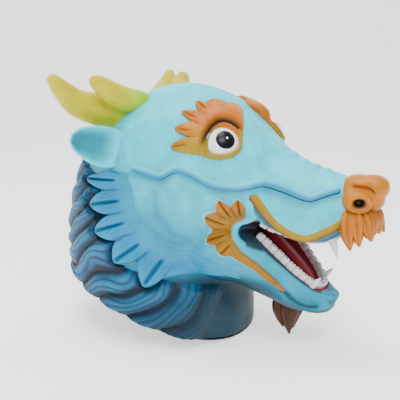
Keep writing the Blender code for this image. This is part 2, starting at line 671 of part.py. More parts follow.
tooth_row("upper_teeth", UPPER_TOOTH_LINE, UPPER_TOOTH_WAY, FANGS_ABOVE)
mane()
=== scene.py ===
"""Full-head latex dragon mask on a pale studio floor, laid out as a Blender add-on.

Every visible piece is a numpy surface in the row frame: +X out of the snout, +Y to the dragon's left, +Z up.
Tables are in millimetres, with z counted from the level of the mouth corners.
"""
import math

import bpy
import numpy as np
from mathutils import Matrix, Vector


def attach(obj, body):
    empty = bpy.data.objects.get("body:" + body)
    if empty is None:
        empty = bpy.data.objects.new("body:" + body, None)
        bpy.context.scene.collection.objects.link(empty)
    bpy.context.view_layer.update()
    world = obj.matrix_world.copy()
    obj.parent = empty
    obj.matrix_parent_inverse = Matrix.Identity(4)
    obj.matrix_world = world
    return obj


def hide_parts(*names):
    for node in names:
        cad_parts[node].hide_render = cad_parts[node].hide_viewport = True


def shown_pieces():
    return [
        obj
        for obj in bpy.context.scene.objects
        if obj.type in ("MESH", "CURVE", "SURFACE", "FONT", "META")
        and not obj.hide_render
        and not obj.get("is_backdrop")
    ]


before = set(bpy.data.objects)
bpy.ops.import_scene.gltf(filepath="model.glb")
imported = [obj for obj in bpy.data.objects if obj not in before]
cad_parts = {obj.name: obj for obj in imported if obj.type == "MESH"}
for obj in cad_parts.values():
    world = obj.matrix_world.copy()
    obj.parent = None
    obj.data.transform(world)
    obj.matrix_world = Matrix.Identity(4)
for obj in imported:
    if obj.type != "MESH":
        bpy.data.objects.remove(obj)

bl_info = {
    "name": "Latex dragon mask",
    "version": (1, 0, 0),
    "blender": (4, 5, 0),
    "location": "View3D > Sidebar > Dragon Mask",
    "description": "Builds a painted full-head latex dragon mask and its studio stage",
    "category": "Add Mesh",
}

# Height of the crown's inside over the mouth corners in mm, and a point inside the head in row metres
SEAT = 121.0
HEAD_CENTRE = (0.03, 0.0, -0.10)

# Head and jaw sections in side view: back x, z and front x, z of the section line, half width, place of the
# widest point along it, curve power of its back and front half, depth of the trough on the open side
HEAD = (
    (-98, -80, 120, -150, 96, 0.50, 2.20, 2.2, 0), (-100, -45, 120, -118, 97, 0.50, 2.20, 2.2, 0),
    (-93, 0, 115, -96, 98, 0.50, 2.20, 2.2, 0), (-75, 45, 110, -78, 98, 0.50, 2.20, 2.2, 0),
    (-49, 88, 110, -64, 95, 0.48, 2.10, 2.2, 0), (-10, 121, 114, -52, 91, 0.48, 2.10, 2.2, 0),
    (35, 135, 122, -42, 87, 0.50, 2.10, 2.3, 0), (75, 131, 136, -30, 81, 0.52, 2.00, 2.5, 0),
    (108, 117, 150, -14, 74, 0.54, 1.90, 2.8, 3), (132, 96, 165, -12, 66, 0.56, 1.80, 3.0, 6),
    (156, 76, 185, -20, 57, 0.58, 1.75, 3.2, 9), (180, 62, 203, -26, 48, 0.60, 1.75, 3.2, 10),
    (203, 53, 220, -27, 41, 0.60, 1.80, 3.2, 9), (224, 47, 236, -21, 34, 0.60, 1.90, 3.0, 5),
    (240, 42, 248, -10, 25, 0.60, 2.00, 2.6, 1))
JAW = (
    (90, -8, 72, -83, 68, 0.45, 2.6, 2.2, 0), (122, -6, 102, -85, 70, 0.42, 2.8, 2.2, 4),
    (145, -13, 128, -87, 64, 0.38, 3.2, 2.2, 10), (164, -31, 148, -93, 55, 0.36, 3.2, 2.2, 13),
    (181, -48, 168, -101, 46, 0.36, 3.2, 2.2, 13), (197, -63, 185, -108, 37, 0.38, 3.0, 2.2, 11),
    (212, -75, 203, -108, 27, 0.42, 2.6, 2.2, 7), (226, -82, 221, -99, 14, 0.50, 2.2, 2.2, 2))
# Share of the half width over which the trough of the open mouth runs
TROUGH_SHARE = 0.72

# Leaf work in side view: inner edge x, z, outer edge x, z, height, and 1 at a leaf's tip
FRILL = (
    (24, 41, 5, 43, 2.5, 0), (27, 35, -41, 29, 4.5, 1), (31, 27, -8, 21, 3.0, 0), (33, 16, -30, 2, 4.0, 1),
    (35, 5, 0, -5, 3.5, 0), (38, -5, -20, -27, 4.5, 1),
    (44, -14, 10, -33, 3.5, 0), (52, -23, 8, -58, 4.5, 1),
    (61, -30, 37, -51, 3.5, 0), (72, -36, 43, -81, 4.5, 1), (84, -39, 62, -72, 3.5, 0),
    (96, -41, 79, -67, 3.2, 0), (112, -46, 104, -68, 2.6, 0),
    (128, -54, 126, -66, 1.2, 0), (142, -62, 141, -68, 0.1, 0))
ROSETTE = (
    (149, 0, 152, 15, 1.5, 0), (146, -1, 145, 25, 2.8, 1),
    (142, -3, 137, 16, 2.2, 0), (140, -4, 125, 24, 2.8, 1),
    (138, -6, 121, 10, 2.2, 0), (136, -9, 107, 3, 2.8, 1), (135, -13, 112, -13, 2.2, 0),
    (135, -17, 105, -28, 2.8, 1), (136, -20, 117, -31, 2.2, 0), (138, -24, 123, -41, 2.8, 1),
    (141, -28, 134, -41, 2.2, 0), (144, -34, 143, -47, 2.5, 0), (160, -47, 158, -56, 2.5, 0),
    (174, -60, 171, -68, 2.5, 0), (188, -77, 186, -80, 1.0, 0))
# Bands: side view paths x, z of the rolled fold and of the trim over the upper lip
FOLD = ((28, 48), (45, 44), (63, 41), (81, 49), (96, 46), (113, 38), (125, 34), (147, 33),
        (165, 37), (182, 32), (200, 25), (211, 23), (222, 27), (230, 30), (237, 32))
LIP_TRIM = ((157, 27), (161, 22), (168, 12), (176, 1), (185, -7.5), (196, -14.5), (207, -17.5), (217, -15.5),
            (227, -10), (237, -4), (245, 2))
# Brow, lids and tufts on the eye's plane, as right and up: edge of the eye, outer edge, height, 1 at a tip
BROW = (
    (16.5, 2.4, 20.8, -0.8, 3.0, 0), (16.6, 7, 23.1, 9.6, 4.0, 0), (14.8, 11.5, 25.4, 20.7, 6.0, 0),
    (10.6, 15, 27.5, 38.7, 8.5, 0), (7.6, 17, 25.5, 51.5, 9.0, 1), (4.6, 18, 12, 53, 8.5, 0),
    (1.7, 18, -3, 58, 8.0, 1), (-1, 17, -12, 50, 7.0, 0),
    (-3, 15.2, -21, 56, 6.5, 1), (-5, 13.4, -21, 41, 5.5, 0),
    (-7.1, 11.1, -38, 43, 5.5, 1), (-9, 8, -28.5, 28, 5.0, 0), (-11, 5, -47, 23.3, 5.0, 1),
    (-12.5, 2, -33, 10.6, 4.0, 0), (-14, -2, -52, 4.6, 4.5, 1), (-15, -8, -36, -6.5, 3.0, 0),
    (-14.4, -11, -24, -11, 2.8, 0), (-9.5, -13, -13, -17.5, 2.8, 0), (-3, -14.6, -4, -19.4, 2.8, 0),
    (5, -13.8, 7.6, -18.4, 2.8, 0), (11.8, -9.5, 16.2, -12, 2.8, 0), (15.2, -3, 20.2, -6, 2.8, 0))
EYE_CENTRE = (123.1, -61.9, 79.3)
EYE_RIGHT = (0.764, 0.645, 0.0)
EYE_RISE = (-0.368, 0.436, 0.821)
EYE_LOOK = (0.53, -0.627, 0.571)
EYE_RADIUS = 19.0
EYE_DEPTH = 9.0
# Ways from the eyeball's centre to the pupil and the painted highlight (glint), on the eye's right, rise and
# look axes
PUPIL_AXIS = (1.3, -1.5, 18.9)
GLINT_AXIS = (2.6, -0.4, 18.8)

# Tubes: x, y, z of the middle line and radius
HORN_LONG = ((16, -26, 76, 15), (-4, -38, 88, 17.5), (-22, -49, 102, 19), (-38, -66, 107, 18.5),
             (-48, -87, 115, 15.5), (-51, -104, 128, 11.5), (-54, -115, 139, 8), (-56, -121, 145, 4.5))
HORN_SHORT = ((30, -18, 84, 11), (20, -30, 96, 12), (10, -44, 113, 13), (-2, -56, 118, 14),
              (-10, -70, 125, 13), (-15, -83, 134, 10.5), (-18, -92, 140, 7), (-19, -96, 143, 3.5))
# Place and way along which the horn's colour runs
HORN_ROOT = (22, -30, 96)
HORN_WAY = (-74, -88, 46)
# Locks of the beard and the moustache, as tubes
BEARD = (
    ((175, 0, -96, 11), (174, 0, -112, 13), (175, 0, -127, 8.5), (177, 0, -143, 1)),
    ((166, -7, -96, 7), (165, -7, -110, 7.5), (167, -6, -122, 5), (171, -4, -134, 1)),
    ((166, 7, -96, 7), (165, 7, -110, 7.5), (167, 6, -122, 5), (171, 4, -134, 1)),
    ((184, -6, -100, 7), (184, -6, -112, 7.5), (182, -5, -123, 5), (180, -3, -136, 1)),
    ((184, 6, -100, 7), (184, 6, -112, 7.5), (182, 5, -123, 5), (180, 3, -136, 1)))
MOUSTACHE = (
    ((246, -18, 12, 7), (247, -23, 2, 11), (249, -27, -12, 9), (252, -28, -27, 1.5)),
    ((252, -17, 12, 7), (256, -22, 1, 11), (258, -25, -10, 8), (261, -27, -22, 1.5)),
    ((257, -14, 11, 7), (263, -18, 1, 10), (267, -21, -7, 7), (272, -23, -16, 1.5)),
    ((259, -8, 10, 7), (265, -11, 0, 9), (267, -12, -9, 6), (270, -13, -16, 1.5)),
    ((260, -2, 10, 7), (265, -4, -1, 8), (266, -4, -9, 5), (268, -4, -15, 1.5)))
FANG_LOW = ((204, -17, -83, 4.5), (208, -17.5, -76, 4), (213, -19, -70, 2.8), (219, -20, -64, 0.6))
FANG_HIGH = ((229, -24, -10, 5.5), (232, -26, -18, 5), (236, -28, -27, 3.2), (239, -29, -36, 0.6))
TONGUE = ((136, 0, -19, 14), (152, 0, -30, 21), (166, 0, -41, 20), (182, 0, -54, 17),
          (197, 0, -67, 12.5), (208, 0, -77, 4))
# Tooth lines x, y, z from the rear of the right side to the middle
LOWER_TEETH = ((152, -39, -22), (165, -34.5, -34), (182, -29, -51), (197, -22.5, -65.5), (208, -14, -75.5),
               (214, 0, -79.5))
UPPER_TEETH = ((160, -44, -4), (170, -41, -9), (184, -38, -13), (202, -33, -18.5),
               (219, -27, -19.5), (233, -19, -15), (239, 0, -11))
# Mouth corner between the upper and the lower lip, its outline in side view, and the lip roll's radii
LIP_CORNER = ((151, -61.5, -1), (143, -62.5, -4), (138, -62, -13), (139.5, -61.5, -22), (145, -60, -27))
MOUTH_SLIT = ((139, -13), (144, -3), (152, 1), (162, 3), (166, -10), (166, -34), (156, -31), (145, -25))
LIP_ROLL_RADIUS = (2.5, 4.2, 4.6, 4.2, 4.0, 4.0, 4.0, 3.6, 2.5)
# Roll under the lower lip, the line under it, and the pressed lines of the cheek
CHIN_ROLL = ((186, -40, -86), (198, -32, -92), (209, -22, -96), (217, -11, -98), (220, 0, -98))
CHIN_ROLL_RADIUS = (3, 6, 8, 9, 9)
CHIN_LINE = ((183, -78), (190, -83), (198, -89), (208, -94), (217, -95.5))
CHEEK_LINES = (((26, -27.0), (31, 14), (36, 0), (44, -10), (55, -20), (70, -30), (88, -36), (104, -40)),
               ((60, 22), (60, 8), (64, -6), (74, -20), (90, -30)))
# Nose: centre and half axes of its ellipsoids, centre of the right nostril, side view path of the wing crease
NOSE = ((264, 0, 35, 17, 16, 13), (250, 0, 34, 18, 19, 13), (253, -18, 22, 15, 13, 12),
        (253, 18, 22, 15, 13, 12), (263, 0, 24, 14, 14, 14), (243, 0, 27, 10, 22, 16))
NOSTRIL = (261, -31, 22)
NOSTRIL_HALF = (9.5, 11.0, 7.2)
NOSE_WING = ((250, 37.5), (259, 37), (268, 33), (272, 25), (271, 14))
# Ear: middle line x, y, z with half width, and the way that its bowl faces
EAR = ((9, -70, 61, 15), (5, -78, 63.5, 19), (-1, -88, 67, 22), (-8, -99, 71, 22), (-14, -110, 75, 19),
       (-20, -120, 78.5, 13.5), (-24, -127, 81, 4.5))
EAR_FACE = (0.80, -0.60, 0.07)
# Mane: place along the head's sections, and how far round it reaches in degrees from the nape
MANE_REACH = ((0.02, 150), (0.6, 155), (1.2, 160), (1.5, 163), (1.75, 166), (2.0, 168), (2.5, 165),
              (2.8, 118), (3.1, 88), (3.5, 64), (4.0, 46))

# Grid counts: points of the lining's ring, rings of its rim, columns a frill leaf, steps of a band and an ear
RING = 180
RIM_STEPS = 10
FRILL_COLUMNS = 26
BAND_STEPS = 260
EAR_STEPS = 70
# Metres before their place at which draped points start, and mm under the skin of a leaf's hidden edge
DROP = 0.2
SUNK = 2.5
# Noise cells a metre, for clouds of 28 mm and pores of 1.1 mm, and the pores' depth in metres
CLOUD_CELLS = 36.0
PORE_CELLS = 900.0
PORE_DEPTH = 0.0006


def hex_rgb(text):
    """Linear red, green and blue of an sRGB hex colour."""
    value = np.array([int(text[i:i + 2], 16) for i in (1, 3, 5)]) / 255
    return np.where(value <= 0.04045, value / 12.92, ((value + 0.055) / 1.055) ** 2.4)


def row_frame(points):
    """Table millimetres to row metres: (x, y, z - seat) / 1000."""
    return (np.asarray(points, dtype=float) - (0, 0, SEAT)) * 0.001


def table_frame(points):
    """Row metres to table millimetres, the reverse of row_frame."""
    return np.asarray(points) * 1000 + (0, 0, SEAT)


def smooth(low, high, value):
    """Smoothstep of value between low and high: t * t * (3 - 2t)."""
    t = np.clip((value - low) / (high - low), 0, 1)
    return t * t * (3 - 2 * t)


def blend_rows(table, at):
    """Catmull-Rom curve through a table's rows, read at fractional places."""
    rows = np.array(table, dtype=float)
    last = len(rows) - 1
    at = np.clip(np.asarray(at, dtype=float), 0, last)
    low = np.clip(at.astype(int), 0, last - 1)
    t = (at - low)[..., None]
    before, here = rows[np.maximum(low - 1, 0)], rows[low]
    ahead, beyond = rows[low + 1], rows[np.minimum(low + 2, last)]
    return 0.5 * (2 * here + (ahead - before) * t + (2 * before - 5 * here + 4 * ahead - beyond) * t**2
                  + (3 * here - before - 3 * ahead + beyond) * t**3)


def curve(table, count):
    """count rows evenly along a table's curve."""
    return blend_rows(table, np.linspace(0, len(table) - 1, count))


def section_points(table, at, angle, lift, trough_on_back):
    """Superellipse sections in mm: middle + way * |cos|^(2/p) across, width * |sin|^(2/p) to the side.

    The trough takes depth * (1 - (side / share)^2)^2 off the half that faces the open mouth.
    """
    row = blend_rows(table, at)
    back, front = row[..., 0:2], row[..., 2:4]
    along = (front - back) / np.linalg.norm(front - back, axis=-1, keepdims=True)
    lift = np.asarray(lift, dtype=float)[..., None]
    back, front = back - along * lift, front + along * lift
    middle = back + (front - back) * row[..., 5:6]
    on_back = np.cos(angle) > 0
    power = 2 / np.where(on_back, row[..., 6], row[..., 7])
    reach, side = np.abs(np.cos(angle)) ** power, np.sign(np.sin(angle)) * np.abs(np.sin(angle)) ** power
    toward = np.where(on_back[..., None], back - middle, front - middle)
    share = np.clip(1 - (np.abs(side) / TROUGH_SHARE) ** 2, 0, 1) ** 2
    depth = row[..., 8] * share / np.linalg.norm(toward, axis=-1)
    reach = reach - np.where(on_back == trough_on_back, depth, 0)
    flat = middle + toward * reach[..., None]
    return np.stack((flat[..., 0], (row[..., 4] + lift[..., 0]) * side, flat[..., 1]), axis=-1)


def loft(table, places, sides, lift, trough_on_back, dome):
    """Rings of a lofted form; the far end is closed by a dome of shrinking rings: scale cos, offset sin."""
    at, angle = np.meshgrid(places, np.arange(sides) * math.tau / sides, indexing="ij")
    rings = section_points(table, at, angle, np.full(at.shape, lift), trough_on_back)
    centre = rings[-1].mean(axis=0)
    way = centre - rings[-2].mean(axis=0)
    way /= np.linalg.norm(way)
    turn = np.linspace(0.15, 1, 8)[:, None, None] * math.pi / 2
    cap = centre + (rings[-1] - centre)[None] * np.maximum(np.cos(turn), 0.02) + way * dome * np.sin(turn)
    return np.concatenate((rings, cap))


def tube_rings(sections, count, sides, flat=1.0, grooves=0, groove=0.0):
    """Rings round a curve with radii; grooves press |cos(n * angle)| lines along it."""
    rows = curve(sections, count)
    centre, radius = rows[:, 0:3], np.maximum(rows[:, 3], 0.15)
    way = np.gradient(centre, axis=0)
    way /= np.linalg.norm(way, axis=1, keepdims=True)
    level = np.array((0.9, 0.3, 0.2)) if abs(way[len(way) // 2][2]) > 0.6 else np.array((0, 0, 1.0))
    across = np.cross(way, level)
    across /= np.linalg.norm(across, axis=1, keepdims=True)
    over = np.cross(across, way)
    turn = np.arange(sides) * math.tau / sides
    press = 1 - groove * np.abs(np.cos(grooves * turn / 2)) ** 6
    reach = radius[:, None] * press[None, :]
    return centre[:, None] + across[:, None] * (np.cos(turn) * reach)[..., None] + \
        over[:, None] * (np.sin(turn) * reach * flat)[..., None]


def sphere_angles(rows, columns, first, last):
    """Grids of the angle from the pole, between two values, and of the turn round it."""
    return np.meshgrid(np.linspace(first, last, rows), np.arange(columns) * math.tau / columns, indexing="ij")


def sphere_points(bearing, turn):
    """Unit sphere: sin * cos and sin * sin across the pole's axis, and cos along it."""
    return np.stack((np.sin(bearing) * np.cos(turn), np.sin(bearing) * np.sin(turn), np.cos(bearing)), -1)


def bell(value, width):
    """Gaussian bell exp(-(value / width)^2), 1 at zero."""
    return np.exp(-(value / width) ** 2)


def grid_quads(rows, columns, wrap):
    """Quads of a grid of points, joined round its columns when wrapped."""
    r = np.arange(rows - 1)[:, None] * columns
    c = np.arange(columns if wrap else columns - 1)[None, :]
    n = (c + 1) % columns
    return np.stack((r + c, r + n, r + columns + n, r + columns + c), -1).reshape(-1, 4)


def build_mesh(name, grids, outward_from=None):
    """Mesh object from grids (rows, columns, 3) in mm: flat, capped at both ends, or an open ring.

    A face's normal is the cross product of its diagonals; a grid whose normals point to the reference is turned.
    """
    points, loops, totals, start = [], [], [], 0
    for grid, form in grids:
        grid = np.asarray(grid, dtype=float)
        rows, columns = grid.shape[:2]
        flat, quads = grid.reshape(-1, 3), grid_quads(rows, columns, form != "flat")
        corner = flat[quads]
        normal = np.cross(corner[:, 2] - corner[:, 0], corner[:, 3] - corner[:, 1])
        reference = flat.mean(axis=0) if outward_from is None else table_frame(outward_from)
        if (normal * (corner.mean(axis=1) - reference)).sum() < 0:
            quads = quads[:, ::-1]
        points.append(flat)
        loops.append((quads + start).ravel())
        totals.append(np.full(len(quads), 4))
        if form == "capped":
            ring = np.arange(columns)
            for cap in (ring, ring[::-1] + (rows - 1) * columns):
                loops.append(cap + start)
                totals.append(np.array([columns]))
        start += len(flat)
    places = row_frame(np.concatenate(points))
    return mesh_object(name, places, np.concatenate(loops), np.concatenate(totals))


def mesh_object(name, points, loops, totals):
    """Object from arrays of points in metres, corner indices and corner counts of the faces."""
    mesh = bpy.data.meshes.new(name)
    mesh.vertices.add(len(points))
    mesh.vertices.foreach_set("co", points.astype(np.float32).ravel())
    mesh.loops.add(len(loops))
    mesh.loops.foreach_set("vertex_index", loops.astype(np.int32))
    mesh.polygons.add(len(totals))
    mesh.polygons.foreach_set("loop_start", (np.cumsum(totals) - totals).astype(np.int32))
    mesh.update(calc_edges=True)
    mesh.validate()
    mesh.shade_smooth()
    piece = bpy.data.objects.new(name, mesh)
    bpy.context.scene.collection.objects.link(piece)
    return piece


def arrays_of(piece):
    """Evaluated points in metres, normals, corner indices and corner counts of an object."""
    shown = piece.evaluated_get(bpy.context.evaluated_depsgraph_get())
    mesh = shown.to_mesh()
    points, normals = np.empty((2, len(mesh.vertices) * 3), np.float32)
    loops, totals = np.empty(len(mesh.loops), np.int32), np.empty(len(mesh.polygons), np.int32)
    mesh.vertices.foreach_get("co", points)
    mesh.vertices.foreach_get("normal", normals)
    mesh.loops.foreach_get("vertex_index", loops)
    mesh.polygons.foreach_get("loop_total", totals)
    shown.to_mesh_clear()
    return points.reshape(-1, 3).astype(float), normals.reshape(-1, 3).astype(float), loops, totals


def remeshed(name, grids, voxel, rounds):
    """One skin round overlapping grids: voxel remesh in mm, smoothed in rounds, read back as arrays."""
    rough = build_mesh(f"{name}_rough", grids)
    remesh = rough.modifiers.new("remesh", "REMESH")
    remesh.mode = "VOXEL"
    remesh.voxel_size = voxel * 0.001
    relax = rough.modifiers.new("relax", "SMOOTH")
    relax.factor = 0.5
    relax.iterations = rounds
    found = arrays_of(rough)
    bpy.data.objects.remove(rough)
    return found


def drape(points, way):
    """Grid points in mm dropped onto the skin along a way; missed ones go to the nearest place.

    The probe's own Z axis is turned to the way, and its points start 200 mm before their place.
    """
    flat = row_frame(points).reshape(-1, 3)
    way = np.asarray(way, dtype=float) / np.linalg.norm(way)
    start = flat - way * DROP
    level = np.cross(way, (0.3, 0.1, 1.0))
    level /= np.linalg.norm(level)
    axes = np.stack((level, np.cross(way, level), way), axis=1)
    probe = mesh_object("probe", start @ axes, np.array([0, 1, 2]), np.array([3]))
    probe.matrix_world = Matrix(axes.tolist()).to_4x4()
    bpy.context.view_layer.update()
    wrap = probe.modifiers.new("wrap", "SHRINKWRAP")
    wrap.target = bpy.data.objects["skin"]
    wrap.wrap_method = "PROJECT"
    wrap.use_project_z = True
    wrap.use_positive_direction = True
    wrap.use_negative_direction = False
    dropped = arrays_of(probe)[0] @ axes.T
    missed = np.linalg.norm(dropped - start, axis=1) < 1e-5
    if missed.any():
        wrap.wrap_method = "NEAREST_SURFACEPOINT"
        probe.data.vertices.foreach_set("co", (flat @ axes).astype(np.float32).ravel())
        probe.data.update()
        near = arrays_of(probe)[0] @ axes.T
        dropped[missed] = near[missed]
    bpy.data.objects.remove(probe)
    return table_frame(dropped).reshape(np.shape(points))


def raised(base, height):
    """Draped grid lifted by heights in mm along its own normals, the cross product of its two gradients."""
    normal = np.cross(np.gradient(base, axis=0), np.gradient(base, axis=1))
    normal /= np.maximum(np.linalg.norm(normal, axis=-1, keepdims=True), 1e-9)
    away = base - table_frame(HEAD_CENTRE)
    normal *= np.sign((normal * away).sum(axis=-1).mean())
    return base + normal * np.asarray(height)[..., None]


def leaf_columns(table, count, point=1.8):
    """Dense columns of leaf work: inner edge, outer edge, height, and s, which is 2 outside a leaf.

    Over a leaf s runs from -1 to 1, and its edge is mid + axis * (1 - |s|^point)^0.8 + half base * s.
    A lower point gives a more pointed leaf.
    """
    rows = np.array(table, dtype=float)
    inner, outer, rise, petal = [], [], [], []
    i = 0
    while i < len(rows) - 1:
        if i + 2 < len(rows) and rows[i + 1][5] == 1:
            s = np.linspace(-1, 1, 2 * count, endpoint=False)
            ends = blend_rows(rows[i:i + 3, :5], s + 1)
            middle = (rows[i, 2:4] + rows[i + 2, 2:4]) / 2
            shape = ((1 - np.abs(s) ** point) ** 0.8)[:, None]
            edge = middle + (rows[i + 1, 2:4] - middle) * shape
            edge = edge + (rows[i + 2, 2:4] - rows[i, 2:4]) / 2 * s[:, None]
            inner.append(ends[:, 0:2])
            outer.append(edge)
            rise.append(ends[:, 4])
            petal.append(s)
            i += 2
        else:
            t = np.linspace(0, 1, count, endpoint=False)[:, None]
            row = rows[i] + (rows[i + 1] - rows[i]) * t
            inner.append(row[:, 0:2])
            outer.append(row[:, 2:4])
            rise.append(row[:, 4])
            petal.append(np.full(count, 2.0))
            i += 1
    return np.concatenate(inner), np.concatenate(outer), np.concatenate(rise), np.concatenate(petal)


def both_sides(grid):
    """A right side grid and its mirror image across the middle plane."""
    return grid, grid * (1, -1, 1)


def side_points(flat):
    """Side view (x, z) points as points on the middle plane, to be dropped from the right."""
    return np.stack((flat[..., 0], np.zeros(flat.shape[:-1]), flat[..., 1]), axis=-1)


def path_distance(points, path, count=120):
    """Distance in mm from side view points to the curve of a path."""
    line = curve(path, count)
    out = np.full(len(points), 1e9)
    for start, end in zip(line, line[1:]):
        run = end - start
        t = np.clip(((points - start) @ run) / (run @ run), 0, 1)
        out = np.minimum(out, np.linalg.norm(points - start - t[:, None] * run, axis=1))
    return out


def outline_distance(points, outline):
    """Distance in mm to a closed outline in side view, negative inside it by the even-odd rule."""
    near, inside = np.full(len(points), 1e9), np.zeros(len(points), bool)
    for start, end in zip(outline, np.roll(outline, -1, axis=0)):
        run = end - start
        t = np.clip(((points - start) @ run) / max(run @ run, 1e-9), 0, 1)
        near = np.minimum(near, np.linalg.norm(points - start - t[:, None] * run, axis=1))
        crossed = (start[1] > points[:, 1]) != (end[1] > points[:, 1])
        at = start[0] + (points[:, 1] - start[1]) * run[0] / (run[1] or 1e-9)
        inside ^= crossed & (points[:, 0] < at)
    return np.where(inside, -near, near)


def ripple(points, size, seed):
    """Smooth wandering field of three sine waves about one size in mm."""
    x, y, z = np.moveaxis(np.asarray(points), -1, 0) * (math.tau / size)
    return (np.sin(x * 0.9 + 1.7 * np.sin(z * 0.6 + seed)) + np.sin(z * 1.1 + 1.3 * np.sin(y * 0.7 + seed * 2))
            + np.sin(y * 0.8 + 1.5 * np.sin(x * 0.5 + seed * 3))) / 3


def tint(piece, colours):
    """Store one colour a point as the attribute that the latex paint reads."""
    layer = piece.data.color_attributes.new("tint", "FLOAT_COLOR", "POINT")
    values = np.ones((len(colours), 4), np.float32)
    values[:, :3] = colours
    layer.data.foreach_set("color", values.ravel())


def mix(first, second, share):
    """Colours between two, by a share a point."""
    share = np.asarray(share)[..., None]
    return np.asarray(first) * (1 - share) + np.asarray(second) * share


def node(tree, kind, settings=(), links=()):
    """Add a node or take the one of that name, set its inputs or properties, and link outputs to its inputs."""
    made = tree.nodes.get(kind) or tree.nodes.new(kind)
    for key, value in dict(settings).items():
        if key in made.inputs:
            made.inputs[key].default_value = value
        else:
            setattr(made, key, value)
    for key, output in dict(links).items():
        tree.links.new(output, made.inputs[key])
    return made


def latex(name, roughness, mottle=0.10, grain=0.15, coat=0.0):
    """Airbrushed latex: the tint attribute times a cloudy shade of about 28 mm, and a pore bump of about 1 mm.

    The shade runs from 1 - mottle to 1 + 0.6 mottle, and grain is the strength of the bump.
    """
    material = bpy.data.materials.new(name)
    material.use_nodes = True
    tree = material.node_tree
    place = node(tree, "ShaderNodeTexCoord").outputs["Object"]
    paint = node(tree, "ShaderNodeAttribute", {"attribute_name": "tint"})
    # The clouds give the eye the uneven coats of an airbrush
    cloud = node(tree, "ShaderNodeTexNoise", {"Scale": CLOUD_CELLS, "Detail": 5.0, "Roughness": 0.6},
                 {"Vector": place})
    shade = node(tree, "ShaderNodeMapRange", {"From Min": 0.3, "From Max": 0.7, "To Min": 1 - mottle,
                                              "To Max": 1 + mottle * 0.6}, {"Value": cloud.outputs["Fac"]})
    vary = node(tree, "ShaderNodeVectorMath", {"operation": "SCALE"},
                {"Vector": paint.outputs["Color"], "Scale": shade.outputs["Result"]})
    # The pores break the highlights up, as cast rubber does
    pores = node(tree, "ShaderNodeTexNoise", {"Scale": PORE_CELLS, "Detail": 3.0}, {"Vector": place})
    bump = node(tree, "ShaderNodeBump", {"Strength": grain, "Distance": PORE_DEPTH},
                {"Height": pores.outputs["Fac"]})
    node(tree, "Principled BSDF", {"Roughness": roughness, "Specular IOR Level": 0.25, "Coat Weight": coat,
                                   "Coat Roughness": 0.15},
         {"Base Color": vary.outputs["Vector"], "Normal": bump.outputs["Normal"]})
    return material


def finish_piece(piece, colours, material, nodes):
    """Paint a piece, hang it on the body and hide the CAD parts that it stands for; one side's colours serve
    both sides.
    """
    colours = np.reshape(colours, (-1, 3))
    if 2 * len(colours) == len(piece.data.vertices):
        colours = np.tile(colours, (2, 1))
    if len(colours) != len(piece.data.vertices):
        raise RuntimeError(f"{piece.name}: {len(colours)} colours for {len(piece.data.vertices)} points")
    tint(piece, colours)
    piece.data.materials.append(material)
    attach(piece, "root")
    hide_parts(*nodes)
    return piece


